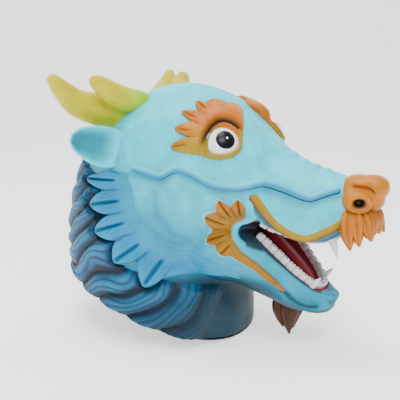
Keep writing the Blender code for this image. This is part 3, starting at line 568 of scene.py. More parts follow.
def skin_paint(points, normals, look):
    """Skin colours: light on top, deeper blue low down and back, grey at the throat, red in the mouth.

    Borders are smoothsteps of height and length in mm, lines are bells of the distance to a side view path.
    Inside the mouth is where the width share of the nearer jaw is under 0.8, or within the corner's outline.
    Painted shade darkens faces that point down, the chin's underside, a band beside each cheek line, the pressed
    chin line, a band under the fold, the upper lip's underside, the insides of the lips, the mouth corner and
    the back of the mouth.
    """
    x, y, z = points.T
    top, low, deep = hex_rgb(look.skin_top), hex_rgb(look.skin_low), hex_rgb(look.skin_deep)
    down = smooth(92, -50, z + 0.30 * x - 16 + 11 * ripple(points, 80, 1))
    colour = mix(top, low, down)
    colour = mix(colour, deep, smooth(-25, -95, z + 0.15 * x) * smooth(165, 100, x))
    # Painted shade on faces that point down, low on the head
    under = smooth(-0.1, -0.9, normals[:, 2]) * smooth(-40, -90, z)
    colour = mix(colour, deep, 0.5 * under)
    throat = smooth(10, 70, x) * smooth(-56, -80, z) * smooth(178, 150, x + 0.6 * (z + 80))
    colour = mix(colour, hex_rgb(look.throat), 0.95 * throat)
    # Painted shade on the down-facing underside of the chin and jaw, in the throat colour
    chin = smooth(0.1, -0.5, normals[:, 2]) * smooth(-55, -75, z) * smooth(110, 135, x)
    colour = mix(colour, hex_rgb(look.throat), 0.75 * chin)
    # Painted shade in a band beside each raised cheek line
    for line in CHEEK_LINES:
        near = path_distance(points[:, [0, 2]] + (2.0, -2.0), line)
        colour = mix(colour, deep, 0.38 * bell(near, 4.5))
    # Painted shade in the pressed chin line
    chin_line = path_distance(points[:, [0, 2]], CHIN_LINE)
    colour = mix(colour, hex_rgb(look.throat), 0.9 * bell(chin_line, 2.2))
    # Painted shade in a band under the rolled fold
    crease = path_distance(points[:, [0, 2]], np.array(FOLD) - (0, 4))
    colour = mix(colour, low, 0.7 * bell(crease, 5.0) * (np.abs(y) > 20))
    jaw, head = np.array(JAW, dtype=float), np.array(HEAD[8:], dtype=float)
    low_z, low_w = np.interp(x, jaw[:, 0], jaw[:, 1]), np.interp(x, jaw[:, 0], jaw[:, 4])
    up_z, up_w = np.interp(x, head[:, 2], head[:, 3]), np.interp(x, head[:, 2], head[:, 4])
    floor = (normals[:, 2] > -0.2) & (z > low_z - 15) & (z < (low_z + up_z) / 2)
    roof = (normals[:, 2] < 0.3) & (z > (low_z + up_z) / 2) & (z < up_z + 12)
    share = np.where(floor, np.abs(y) / low_w, np.where(roof, np.abs(y) / up_w, 2))
    share = np.where((x > 136) & (x < 219), share, 2)
    slit = outline_distance(points[:, [0, 2]], np.array(MOUTH_SLIT, dtype=float))
    corner = smooth(4.0, 0.0, slit) * smooth(61.0, 58.5, np.abs(y)) * (x < 165)
    inside = np.maximum(smooth(0.86, 0.80, share) * smooth(137, 143, x), corner)
    # Painted shade under the upper lip
    lip = path_distance(points[:, [0, 2]], np.array(LIP_TRIM) - (0, 9))
    colour = mix(colour, hex_rgb(look.lip_shade), 0.85 * np.exp(-(lip / 4.0) ** 4) * (np.abs(y) > 12) * (x > 160))
    red = smooth(0.74, 0.66, share) * smooth(141, 150, x)
    # Painted shade on the insides of the lips and in the mouth corner
    colour = mix(colour, hex_rgb(look.lip_shade), inside)
    # Painted shade: the red turns to deep red towards the back of the mouth
    return mix(colour, mix(hex_rgb(look.mouth_deep), hex_rgb(look.mouth), smooth(145, 200, x)), red)


def build_skin(look):
    """Head and jaw lofts with rolled lips under one voxel skin, open at the slanted neck rim.

    Cheek lines are raised 0.9 mm, the bridge carries 1.1 mm sine folds every 13 mm, the chin line is pressed
    2 mm, and two ripples add 0.35 mm and 0.8 mm. Faces within 1.6 mm of the neck's cut are left out.
    """
    head = loft(HEAD, np.linspace(0, len(HEAD) - 1, 110), 150, 0.0, False, 8)
    jaw = loft(JAW, np.linspace(0, len(JAW) - 1, 70), 110, 0.0, True, 9)
    upper = section_points(HEAD, np.linspace(14.6, 9.0, 12), np.full(12, 0.95 - math.pi), np.full(12, -1.0),
                           False)
    lower = section_points(JAW, np.linspace(2.4, 6.9, 10), np.full(10, -0.92), np.full(10, -1.5), True)
    lips = np.concatenate((upper, LIP_CORNER, lower, [lower[-1] * (1, 0, 1) + (2, 0, 0)]))
    size = np.interp(np.linspace(0, 1, len(lips)), np.linspace(0, 1, len(LIP_ROLL_RADIUS)), LIP_ROLL_RADIUS)
    roll = np.column_stack((lips, size))
    chin = np.column_stack((CHIN_ROLL, CHIN_ROLL_RADIUS))
    grids = [(head, "capped"), (jaw, "capped")]
    for table in (roll, chin):
        grids += [(side, "capped") for side in both_sides(tube_rings(table, 90, 16))]
    points, normals, loops, totals = remeshed("skin", grids, look.skin_voxel, 7)
    points = table_frame(points)
    x, y = points[:, 0], points[:, 1]
    flat = points[:, [0, 2]]
    lift = np.zeros(len(points))
    for line in CHEEK_LINES:
        lift += 0.9 * bell(path_distance(flat, line), 2.2) * (normals[:, 1] ** 2 > 0.1)
    bridge = smooth(14, 6, np.abs(y)) * smooth(0.2, 0.7, normals[:, 2]) * smooth(160, 172, x)
    lift += 1.1 * bridge * smooth(228, 216, x) * np.sin((x - 160) / 13 * math.tau)
    lift -= 2.0 * bell(path_distance(flat, CHIN_LINE), 1.8) * (np.abs(y) > 4)
    lift += 0.35 * ripple(points, 34, 4) + 0.8 * ripple(points, 95, 2)
    points = points + normals * lift[:, None]
    back, front = np.array(HEAD[0][0:2], dtype=float), np.array(HEAD[0][2:4], dtype=float)
    way = (front - back) / np.linalg.norm(front - back)
    below = (points[:, [0, 2]] - back) @ np.array((way[1], -way[0]))
    quads = loops.reshape(-1, 4)
    quads = quads[~(np.abs(below[quads]) < 1.6).all(axis=1)]
    kept, corners = np.unique(quads.ravel(), return_inverse=True)
    points = points[kept]
    piece = mesh_object("skin", row_frame(points), corners, np.full(len(quads), 4))
    normals = np.empty(len(points) * 3, np.float32)
    piece.data.vertices.foreach_get("normal", normals)
    colours = skin_paint(points, normals.reshape(-1, 3), look)
    # A satin turquoise with strong clouds, as sprayed in several thin coats
    paint = latex("airbrushed_skin_latex", 0.5, 0.26)
    return finish_piece(piece, colours, paint, ["latex_skin"])


def build_lining(look):
    """Inner wall, 3.4 mm within the sections, and the rolled neck rim of 1.9 mm radius.

    The rim moves the first section's ring on an arc: out by cos, and along the neck's way by sin.
    """
    turn = np.arange(RING) * math.tau / RING
    rim = []
    for at in np.linspace(-0.5, 1.0, RIM_STEPS) * math.pi:
        ring = section_points(HEAD, np.zeros(RING), turn, np.full(RING, -1.6 + 1.9 * math.cos(at)), False)
        rim.append(ring + np.array((-0.31, 0, -0.95)) * 1.9 * max(math.sin(at), -0.4))
    places, angle = np.meshgrid(np.linspace(0.02, 13.4, 90), turn, indexing="ij")
    wall = section_points(HEAD, places, angle, np.full(places.shape, -3.4), False)
    piece = build_mesh("lining", [(np.concatenate((rim, wall)), "ring")])
    piece.data.flip_normals()
    # Painted shade: the inner wall is tinted dark blue-grey; the rim takes the mane's darkest blue
    colours = np.tile(hex_rgb(look.lining), (len(piece.data.vertices), 1))
    colours[:RING * (RIM_STEPS - 2)] = hex_rgb(look.mane_dark)
    # Duller than the painted side; the dark blue-grey tint is painted shade, so that the hollow stays dark
    return finish_piece(piece, colours, latex("raw_latex_lining", 0.6), [])


def leaf_piece(name, table, count, steps, colours_of, edge, nodes, material, stand=0.0, point=1.8):
    """Leaf work of one side and its mirror. q is the share from the inner to the outer edge.

    The height rises over q up to edge, dips by 0.75 along the middle crease and by 0.45 between leaves,
    swells by 0.25 in each leaf's halves, and falls off over the last fifth. Past the edges it lies 2.5 mm
    under the skin.
    """
    inner, outer, rise, petal = leaf_columns(table, count, point)
    share = np.linspace(-0.03, 1.03, steps)
    flat = inner[:, None] + (outer - inner)[:, None] * np.clip(share, 0, 1)[None, :, None]
    base = drape(side_points(flat), (0, 1, 0))
    s, q = petal[:, None], share[None, :]
    leaf = np.abs(s) <= 1
    body = smooth(-0.03, edge, q) * np.sqrt(np.clip(1 - smooth(0.80, 1.0, q) ** 2 * 0.85, 0, 1))
    dip = 0.75 * bell(s, 0.13) * smooth(0.18, 0.36, q) * smooth(0.97, 0.85, q) * leaf
    groove = 0.45 * bell(1 - np.abs(s), 0.10) * smooth(0.25, 0.6, q) * leaf
    lobe = 1 + 0.25 * np.sin(np.abs(s) * math.pi) * leaf * smooth(0.2, 0.6, q)
    height = (rise[:, None] * lobe * (1 - dip) * (1 - groove) + stand * smooth(0.3, 0.8, q) * leaf) * body
    height = np.where((q > 1.0) | (q < -0.01), -SUNK, height)
    grid = raised(base, height)
    tone = np.broadcast_to(colours_of(s, q, dip, groove, base), grid.shape)
    piece = build_mesh(name, [(side, "flat") for side in both_sides(grid)], HEAD_CENTRE)
    return finish_piece(piece, tone, material, nodes)


def build_frills(look):
    """Cheek frills: pointed lobes that stand 3 mm out, each with a pressed middle crease and fine streaks."""
    base, deep, light = hex_rgb(look.frill), hex_rgb(look.mane), hex_rgb(look.skin_low)

    def paint(s, q, dip, groove, place):
        """Teal, light at the root, dark streaks, a painted highlight by each crease, painted shade in creases
        and edges.
        """
        tone = mix(np.broadcast_to(base, place.shape), light, smooth(0.45, 0.0, q) * 0.8)
        tone = mix(tone, hex_rgb(look.skin_low), 0.55 * smooth(85, 125, place[..., 0]))
        # Painted highlight along each half of a lobe, beside its middle crease
        tone = mix(tone, light, 0.5 * bell(np.abs(s) - 0.28, 0.1) * smooth(0.3, 0.6, q))
        streak_and_groove_shade = np.abs(np.sin(9 * s + 2 * ripple(place, 25, 2))) ** 3
        tone = mix(tone, deep, 0.22 * streak_and_groove_shade * smooth(0.2, 0.5, q))
        # Painted shade in the middle creases, between the leaves and at the leaves' outer edges
        return mix(tone, deep, np.clip(1.1 * dip + 1.6 * groove + 0.35 * smooth(0.92, 1.0, q), 0, 1))

    # The skin's satin with weaker clouds, so that the streaks of the lobes show
    return leaf_piece("cheek_frills", FRILL, FRILL_COLUMNS, 60, paint, 0.22,
                      ["cheek_frill_left", "cheek_frill_right"],
                      latex("airbrushed_frill_latex", 0.5, 0.2), 3.0, 1.45)


def build_rosettes(look):
    """Gold leaf rosettes round the mouth corners, with the gold stripe under the lower lip."""
    gold, dark, bright = hex_rgb(look.gold), hex_rgb(look.gold_dark), hex_rgb(look.orange)

    def paint(s, q, dip, groove, place):
        """Gold, warmer on the upper leaves, painted shade in the creases, with skin paint at the outer edge."""
        warm = smooth(0.3, 0.8, q) * smooth(-5, 15, place[..., 2])
        tone = mix(np.broadcast_to(gold, place.shape), bright, 0.6 * warm)
        # Painted shade in the middle creases and between the leaves
        tone = mix(tone, dark, np.clip(0.9 * dip + groove, 0, 1))
        return mix(tone, hex_rgb(look.skin_top), smooth(0.86, 0.93, q))

    # A smoother gold paint with patchy brush work
    return leaf_piece("mouth_rosettes", ROSETTE, 18, 40, paint, 0.12,
                      ["mouth_rosette_left", "mouth_rosette_right"], latex("brushed_gold_latex", 0.42, 0.3))


def band_piece(name, path, width, profile, colours, nodes, material):
    """Band along a side view path: offsets across it times a tapered half width, heights from a profile."""
    line = curve(path, BAND_STEPS)
    way = np.gradient(line, axis=0)
    way /= np.linalg.norm(way, axis=1, keepdims=True)
    across = np.stack((-way[:, 1], way[:, 0]), axis=1)
    t = np.linspace(0, 1, BAND_STEPS)
    taper = np.sqrt(smooth(0, 0.06, t) * smooth(1, 0.97, t)) * 0.85 + 0.15
    offset, height = np.array(profile).T
    flat = line[:, None] + across[:, None] * (offset[None, :] * width / 2 * taper[:, None])[..., None]
    base = drape(side_points(flat), (0, 1, 0))
    grid = raised(base, height[None, :] * taper[:, None])
    piece = build_mesh(name, [(side, "flat") for side in both_sides(grid)], HEAD_CENTRE)
    tone = np.broadcast_to(np.array(colours)[None], grid.shape)
    return finish_piece(piece, tone, material, nodes)


def build_fold(look):
    """Rolled fold along the cheek: it swells over its path and drops sharply on its lower side."""
    top, low, deep = hex_rgb(look.skin_top), hex_rgb(look.frill), hex_rgb(look.crease)
    profile = ((2.2, -0.6), (1.6, 0.1), (1.0, 0.9), (0.5, 1.9), (0.1, 2.5), (-0.2, 2.7), (-0.45, 2.3),
               (-0.6, 1.2), (-0.66, 0.1), (-0.72, -0.8))
    # The last three steps, on the underside of the roll, are painted shade in the crease colour
    colours = [top, top, mix(top, low, 0.3), mix(top, low, 0.7), low, low, low, deep, deep, deep]
    # The skin's satin again, light on the roll, with painted shade under it
    return band_piece("fold_ridges", FOLD, 6.6, profile, colours,
                      ["fold_ridge_left", "fold_ridge_right"], latex("airbrushed_fold_latex", 0.45))


def build_lip_trim(look):
    """Gold bead over the upper lip, 2.5 mm high, with skin paint on its upper edge and painted shade on its
    lower side.
    """
    gold, dark, rim = hex_rgb(look.gold), hex_rgb(look.gold_dark), hex_rgb(look.skin_top)
    profile = ((1.5, -0.8), (1.25, 0.5), (1.0, 0.9), (0.85, 1.2), (0.5, 2.2), (0, 2.5), (-0.5, 2.0),
               (-0.85, 0.9), (-1.1, -0.8))
    gold = mix(gold, hex_rgb(look.olive), 0.55)
    # Painted shade: the steps on the bead's lower side run to dark gold
    colours = [rim, rim, gold, gold, gold, mix(gold, dark, 0.25), mix(gold, dark, 0.7), dark, dark]
    # The gold paint with an olive cast
    return band_piece("lip_trims", LIP_TRIM, 8.5, profile, colours,
                      ["lip_trim_left", "lip_trim_right"], latex("olive_gold_latex", 0.42, 0.3))


def build_mane(look):
    """Mane collar on the head's first five sections: |sin|^0.6 locks of 19 mm over bent flow lines.

    The flow is the height minus 52.9 log cosh(round / 88.2) about a turn, so the locks run level at the nape and
    hang to the sides; ripples make them wander. Strands of 5.4 mm and hairs of 1.9 mm split each lock. The edge
    fades where the frill and the throat begin, and past it the mane lies 1.5 mm under the skin.
    """
    places = np.linspace(MANE_REACH[0][0], MANE_REACH[-1][0], 230)
    reach = np.radians(np.interp(places, *np.array(MANE_REACH).T))
    share = np.linspace(-1, 1, 380)
    at = np.repeat(places[:, None], len(share), axis=1)
    angle = reach[:, None] * share[None, :]
    base = section_points(HEAD, at, angle, np.zeros(at.shape), False)
    round_way = np.abs(angle) * 98
    z = base[..., 2]
    wave = 5.5 * ripple(base, 120, 5) + 1.6 * ripple(base, 48, 7)
    turn_at = 97 - 0.98 * (z + 110)
    flow = z - 52.9 * np.log(np.cosh((round_way - turn_at) / 88.2)) + wave
    flow = flow + 2.4 * np.sin(round_way / 11 + flow / 13)
    side_shift = 0.3 * np.sin(round_way / 34)
    lock = np.abs(np.sin(math.pi * (flow / 19 + side_shift)))
    strand = np.abs(np.sin(math.pi * (flow / 5.4 + 0.8 * ripple(base, 50, 11))))
    fine = np.abs(np.sin(math.pi * (flow / 1.9 + 0.5 * ripple(base, 30, 3))))
    lump = 0.5 + 0.5 * ripple(base, 60, 13)
    edge = smooth(0, 0.16, 1 - np.abs(share))[None, :] * smooth(4.02, 3.85, at)
    inner, outer, _, _ = leaf_columns(FRILL, FRILL_COLUMNS)
    frill = np.concatenate((outer, inner[::-1]))
    clear = outline_distance(base[..., [0, 2]].reshape(-1, 2), frill).reshape(at.shape)
    below_jaw = 0.7 * (-56 - 0.25 * base[..., 0] - z) + 60 * (base[..., 0] < 20)
    room = np.where(np.abs(angle) > 0.6, np.minimum(clear, below_jaw), 9)
    edge = edge * smooth(-1.5, 3.5, room)
    lift = (1.2 + 5.0 * lock ** 0.6 + 1.2 * strand * lock + 0.2 * fine + 2.0 * lump) * edge - 1.5 * (1 - edge)
    grid = section_points(HEAD, at, angle, lift, False)
    grid[0] = section_points(HEAD, at[0], angle[0], np.full(len(share), -0.5), False)
    # Painted highlight on the crests of the locks and strands
    lit = np.clip(0.55 * lock * strand + 0.2 * lump, 0, 1)
    tone = mix(hex_rgb(look.mane), hex_rgb(look.frill), lit)
    dark = hex_rgb(look.mane_dark)
    # Painted shade between the locks and strands
    tone = mix(tone, dark, np.clip(1.2 * (1 - lock) ** 1.3 + 0.5 * (1 - strand) ** 2, 0, 1))
    tone = mix(tone, dark, 0.55 * smooth(-70, -125, z))
    # Painted shadow along the edge of the cheek frill
    tone = mix(tone, dark, 0.75 * bell(np.maximum(clear, 0), 6) * (at < 3.2))
    front = smooth(45, 112, base[..., 0] + 0.5 * (-95 - z))
    tone = mix(tone, mix(dark, hex_rgb(look.throat), 0.5), 0.8 * front)
    tone = mix(tone, hex_rgb(look.throat), smooth(0.14, 0.0, 1 - np.abs(share))[None, :])
    piece = build_mesh("mane_locks", [(grid, "flat")], HEAD_CENTRE)
    # A deep blue with fine clouds; the painted shade between the locks and the painted highlights on them are in
    # the tint
    return finish_piece(piece, tone, latex("dark_mane_latex", 0.5, 0.18), ["mane"])


def eye_place(u, v):
    """Eye plane coordinates in mm to table points."""
    return np.array(EYE_CENTRE) + np.asarray(u)[..., None] * EYE_RIGHT + np.asarray(v)[..., None] * EYE_RISE


def build_brows(look):
    """Brow, lids and tufts as a ring on the eye's plane: lid rim, crease with painted shadow, bulge, then
    creased tufts.

    The rim is a bell 4 mm high at 2 mm from the eye; the bulge rises from 4.5 to 14 mm out where the ring is
    wider than 9 to 18 mm, and the tufts' tips dip by 0.55 along their middles.
    """
    inner, outer, rise, petal = leaf_columns(BROW + (BROW[0],), 14)
    share = np.concatenate((np.linspace(-0.12, 0.3, 30), np.linspace(0.32, 1.03, 34)))
    flat = inner[:, None] + (outer - inner)[:, None] * np.clip(share, 0, 1)[None, :, None]
    flat = flat * (1 + 1.7 * np.minimum(share, 0))[None, :, None]
    base = drape(eye_place(flat[..., 0], flat[..., 1]), -np.array(EYE_LOOK))
    s, q = petal[:, None], share[None, :]
    leaf = np.abs(s) <= 1
    long = np.linalg.norm(outer - inner, axis=1)[:, None]
    across = np.clip(q, 0, 1) * long
    wide = smooth(9, 18, long)
    rim = bell(across - 2.0, 1.7)
    bulge = smooth(4.5, 14, across) * (1 - 0.55 * smooth(0.45, 1.0, q)) * wide
    body = np.sqrt(np.clip(1 - smooth(0.86, 1.0, q) ** 2 * 0.8, 0, 1))
    dip = 0.55 * bell(s, 0.16) * smooth(0.5, 0.72, q) * smooth(1.0, 0.88, q) * leaf * (rise[:, None] < 7)
    thin = (1 - wide) * smooth(0, 0.15, q)
    height = (rim * 4.0 + 0.9 + rise[:, None] * (bulge + thin * 0.35)) * body * (1 - dip)
    height = np.where(q > 1.0, -SUNK, height - 2 * np.clip(-q, 0, 1))
    grid = raised(base, height)
    gold, dark, orange = hex_rgb(look.gold), hex_rgb(look.gold_dark), hex_rgb(look.orange)
    up = smooth(-5, 25, flat[..., 1])
    tone = mix(np.broadcast_to(mix(gold, hex_rgb(look.olive), 0.5), grid.shape), orange, up)
    # Painted shadow in the crease between the lid and the brow's bulge; the tucked inner edge takes the same
    # dark brown
    brow_shadow = bell(across - 6.5, 3.2) * wide * smooth(-6, 6, flat[..., 1])
    tone = mix(tone, hex_rgb(look.brow_shadow), np.clip(brow_shadow + 0.8 * smooth(-0.05, -0.1, q), 0, 1))
    # Painted shade in the tufts' middle creases and at their edges
    tone = mix(tone, dark, np.clip(0.8 * dip + 0.5 * smooth(0.93, 1.0, q) * leaf, 0, 1))
    piece = build_mesh("brows", [(side, "flat") for side in both_sides(grid)], HEAD_CENTRE)
    # Orange over gold with a soft sheen on the bulge
    return finish_piece(piece, tone, latex("orange_brow_latex", 0.42, 0.25),
                        ["brow_left", "brow_right"])


def build_eyes(look):
    """Eyeballs: part of a sphere, white with a pupil of 32 degrees and a painted highlight, a glint, of 4 round
    their axes.
    """
    local = sphere_points(*sphere_angles(110, 120, 0.001, math.pi * 0.6))
    centre = np.array(EYE_CENTRE) - np.array(EYE_LOOK) * EYE_DEPTH
    grid = centre + EYE_RADIUS * local @ np.array((EYE_RIGHT, EYE_RISE, EYE_LOOK))
    tone = np.broadcast_to(hex_rgb(look.eye_white), grid.shape)
    # The pupil is paint; the glint is a painted highlight
    for axis, colour, outer, inner in ((PUPIL_AXIS, look.pupil, 33.0, 31.6), (GLINT_AXIS, look.glint, 4.2, 3.2)):
        away = np.degrees(np.arccos(np.clip(local @ (np.array(axis) / np.linalg.norm(axis)), -1, 1)))
        tone = mix(tone, hex_rgb(colour), smooth(outer, inner, away))
    piece = build_mesh("eyes", [(side, "capped") for side in both_sides(grid)])
    # Clean gloss paint without clouds or pores, with a small sharp highlight; the glint in the tint is a painted
    # highlight
    return finish_piece(piece, tone, latex("gloss_eye_paint", 0.3, 0.0, 0.0),
                        ["eye_left", "eye_right"])


def build_horns(look):
    """Forked horns: two tapered tubes under one skin with a 0.5 mm ripple, mirrored to the left side.

    The colour goes from lime to ochre over 8 to 62 mm along the fork's way, and to skin paint within 30 mm of
    the skin at the root.
    """
    grids = [(tube_rings(table, 60, 40), "capped") for table in (HORN_LONG, HORN_SHORT)]
    points, _, loops, totals = remeshed("horn", grids, 1.6, 9)
    points = table_frame(points)
    lift = 0.5 * ripple(points, 45, 6)
    away = points - points.mean(axis=0)
    points = points + away / np.linalg.norm(away, axis=1, keepdims=True) * lift[:, None]
    near = drape(points[None], (0.3, 0.9, -0.5))[0]
    run = (points - HORN_ROOT) @ (np.array(HORN_WAY) / np.linalg.norm(HORN_WAY))
    root, lime, tip = hex_rgb(look.skin_top), hex_rgb(look.horn_root), hex_rgb(look.horn_tip)
    stand = np.linalg.norm(points - near, axis=1)
    tone = mix(lime, tip, smooth(8, 62, run + 5 * ripple(points, 40, 8)))
    tone = mix(tone, root, smooth(7, -9, run + 4 * ripple(points, 25, 2)) * smooth(30, 4, stand))
    both = np.concatenate((points, points * (1, -1, 1)))
    mirror = loops.reshape(-1, 4)[:, ::-1] + len(points)
    corners = np.concatenate((loops, mirror.ravel()))
    piece = mesh_object("horns", row_frame(both), corners, np.tile(totals, 2))
    # A waxy sheen with uneven paint
    return finish_piece(piece, tone, latex("ochre_horn_latex", 0.42, 0.2),
                        ["horn_left", "horn_right"])


def build_ears(look):
    """Cupped leaf ears: rings over the front and back round the rear, s = cos(turn) of the half width.

    The bowl is 15 mm deep times smoothsteps along the ear and across it. The rolled rim is a bell of 3.6 mm at
    s = 0.88 and one of 3 mm across the root. The rear lies 3.4 mm behind the bowl, and 2 mm more in its middle.
    """
    rows = curve(EAR, EAR_STEPS)
    centre, half = rows[:, :3], rows[:, 3]
    way = np.gradient(centre, axis=0)
    way /= np.linalg.norm(way, axis=1, keepdims=True)
    face = np.array(EAR_FACE) - way * (way @ EAR_FACE)[:, None]
    face /= np.linalg.norm(face, axis=1, keepdims=True)
    wide = np.cross(way, face)
    turn = np.arange(72) * math.tau / 72
    s = np.cos(turn)
    along = np.linspace(0, 1, EAR_STEPS)[:, None]
    size = np.minimum(1, half / 12)[:, None]
    bowl = 15 * smooth(0.26, 0.48, along) * smooth(1.0, 0.80, along) * smooth(0.9, 0.4, np.abs(s))
    rim = 3.6 * bell(np.abs(s) - 0.88, 0.11) + 3.0 * bell(along - 0.24, 0.07) * (1 - s**2)
    front = -bowl + rim
    back = -bowl - 3.4 - 2.0 * (1 - s**2)
    height = np.where(np.sin(turn) >= 0, front, back)
    height = (0.5 * (np.roll(height, 1, axis=1) + np.roll(height, -1, axis=1))) * size
    side = (s[None, :] * half[:, None])[..., None]
    grid = centre[:, None] + wide[:, None] * side + face[:, None] * height[..., None]
    # Painted shade in the ear's bowl, deepest in its middle
    cup = smooth(0.9, 0.3, np.abs(s))[None, :] * (np.sin(turn) >= 0)[None, :] * smooth(1, 0.7, along)
    cup = cup * smooth(0.26, 0.45, along)
    tone = mix(np.broadcast_to(hex_rgb(look.skin_top), grid.shape), hex_rgb(look.ear_cup), 0.75 * cup)
    tone = mix(tone, hex_rgb(look.skin_low), 0.7 * (np.sin(turn) < 0)[None, :] * np.ones_like(along))
    piece = build_mesh("ears", [(side, "capped") for side in both_sides(grid)])
    relax = piece.modifiers.new("relax", "SMOOTH")
    relax.iterations = 1
    # The skin's satin with almost no clouds, so that the painted shade in the cup reads
    return finish_piece(piece, tone, latex("airbrushed_ear_latex", 0.48),
                        ["ear_left", "ear_right"])


def build_nose(look):
    """Nose: slightly squared ellipsoids, |v|^0.88, under one skin.

    The nostril is pressed 9 mm in by a smoothstep of an ellipsoid distance, with a raised rim of 1.2 mm, and
    the wing crease 3.2 mm by a bell of the distance to its side view path.
    """
    ball = sphere_points(*sphere_angles(40, 60, 0.02, math.pi - 0.02))
    ball = np.sign(ball) * np.abs(ball) ** 0.88
    grids = [(np.array(row[:3]) + ball * np.array(row[3:]), "capped") for row in NOSE]
    points, normals, loops, totals = remeshed("nose", grids, 1.0, 14)
    points = table_frame(points)
    fold = points * (1, 0, 1) + np.abs(points) * (0, -1, 0)
    hole = np.linalg.norm((fold - NOSTRIL) / NOSTRIL_HALF, axis=1)
    crease = path_distance(points[:, [0, 2]], NOSE_WING) + 9 * smooth(16, 10, np.abs(points[:, 1]))
    lift = -9.0 * smooth(1.15, 0.55, hole) + 1.2 * bell(hole - 1.35, 0.3) - 3.2 * bell(crease, 2.0)
    points = points + normals * lift[:, None]
    orange, dark = hex_rgb(look.nose), hex_rgb(look.gold_dark)
    tone = mix(np.broadcast_to(orange, points.shape), dark, 0.5 * smooth(26, 8, points[:, 2]))
    # Painted shade in the wing crease
    tone = mix(tone, dark, 0.8 * bell(crease, 2.0))
    # Painted shade: the nostrils' dents are coloured near black
    tone = mix(tone, hex_rgb(look.nostril), smooth(1.02, 0.85, hole))
    piece = mesh_object("nose_form", row_frame(points), loops, totals)
    # The shiniest orange, as on a damp nose
    return finish_piece(piece, tone, latex("orange_nose_latex", 0.38, 0.22), ["nose"])


def tuft(name, locks, look_colours, nodes, material, mirrored):
    """Locks of hair cast in latex: tapering tubes with six grooves, with painted shade of |cos(3 angle)|^3 in
    the grooves round each.
    """
    grids, tones = [], []
    light, dark = look_colours
    for table in locks:
        ring = tube_rings(table, 60, 48, 0.85, 6, 0.16)
        angle = np.arange(48) * math.tau / 48
        # Painted shade in the six grooves of each lock
        streak_and_groove_shade = np.abs(np.cos(3 * angle)) ** 3
        tone = mix(np.broadcast_to(light, ring.shape), dark, streak_and_groove_shade[None, :] * 0.5 * np.ones((60, 1)))
        for side in both_sides(ring) if mirrored else (ring,):
            grids.append((side, "capped"))
            tones.append(tone.reshape(-1, 3))
    piece = build_mesh(name, grids)
    return finish_piece(piece, np.concatenate(tones), material, nodes)


def build_whiskers(look):
    """Moustache under the nose, mirrored, and beard under the chin."""
    # Satin orange and dull brown, with painted shade in the hair's grooves in the tint
    tuft("moustache_locks", MOUSTACHE, (hex_rgb(look.nose), hex_rgb(look.gold_dark)), ["moustache"],
         latex("orange_moustache_latex", 0.45), True)
    tuft("beard_locks", BEARD, (hex_rgb(look.beard), hex_rgb(look.beard_dark)), ["beard"],
         latex("brown_beard_latex", 0.5), False)


def tooth_grids(line, way_up, spacing, size):
    """Rounded blocks along a tooth line: sphere coordinates to |v|^0.34 with half sizes along, across and up.

    The line is measured by length, so the teeth are evenly spaced; their heights vary by 6 percent of a sine.
    """
    half = curve(line, 200)
    path = np.concatenate((half, half[-2::-1] * (1, -1, 1)))
    length = np.concatenate(([0], np.cumsum(np.linalg.norm(np.diff(path, axis=0), axis=1))))
    count = int(length[-1] / spacing)
    steps = (np.arange(count) + 0.5) * length[-1] / count
    place = np.stack([np.interp(steps, length, path[:, k]) for k in range(3)], axis=1)
    run = np.stack([np.interp(steps, length, np.gradient(path[:, k])) for k in range(3)], axis=1)
    run /= np.linalg.norm(run, axis=1, keepdims=True)
    up = np.array(way_up) / np.linalg.norm(way_up)
    thick = np.cross(run, up)
    thick /= np.linalg.norm(thick, axis=1, keepdims=True)
    rise = np.cross(thick, run)
    ball = sphere_points(*sphere_angles(14, 24, 0.03, math.pi - 0.03))
    ball = np.sign(ball) * np.abs(ball) ** 0.34
    wobble = 1 + 0.06 * np.sin(np.arange(count) * 2.4)
    width = spacing / 2 * 1.02
    grids = []
    for k in range(count):
        axes = np.array((run[k] * width, thick[k] * size[0], rise[k] * size[1] * wobble[k]))
        grids.append((place[k] + ball @ axes + rise[k] * size[2], "capped"))
    return grids


def build_teeth(look):
    """Lower and upper rows of rounded teeth with their fangs."""
    for name, line, way, size, fang in (
            ("lower_teeth", LOWER_TEETH, (0.62, 0, 0.78), (3.0, 5.6, 1.0), FANG_LOW),
            ("upper_teeth", UPPER_TEETH, (0, 0, -1), (2.4, 4.2, 1.0), FANG_HIGH)):
        grids = tooth_grids(line, way, 8.6, size)
        grids += [(side, "capped") for side in both_sides(tube_rings(fang, 30, 24))]
        piece = build_mesh(f"{name}_row", grids)
        colours = np.tile(hex_rgb(look.tooth), (len(piece.data.vertices), 1))
        # Smooth white enamel paint, the glossiest latex
        finish_piece(piece, colours, latex(f"white_{name}_latex", 0.32, 0.06), [name])


def build_tongue(look):
    """Tongue: tube flattened to 0.36, with a groove of 2.6 exp(-(y / 3)^2) mm on top."""
    steps = 80
    grid = tube_rings(TONGUE, steps, 64, 0.36)
    dip = 2.6 * bell(grid[..., 1], 3.0) * smooth(0.0, 0.15, np.linspace(0, 1, steps))[:, None]
    upper = grid[..., 2] > curve(TONGUE, steps)[:, 2][:, None]
    grid[..., 2] -= dip * upper
    tone = np.broadcast_to(hex_rgb(look.mouth), grid.shape)
    # Painted shade along the groove on top
    tone = mix(tone, hex_rgb(look.mouth_deep), bell(grid[..., 1], 4))
    piece = build_mesh("tongue_form", [(grid, "capped")])
    # A matt red that stays dark in the mouth
    return finish_piece(piece, tone, latex("red_tongue_latex", 0.55, 0.15), ["tongue"])


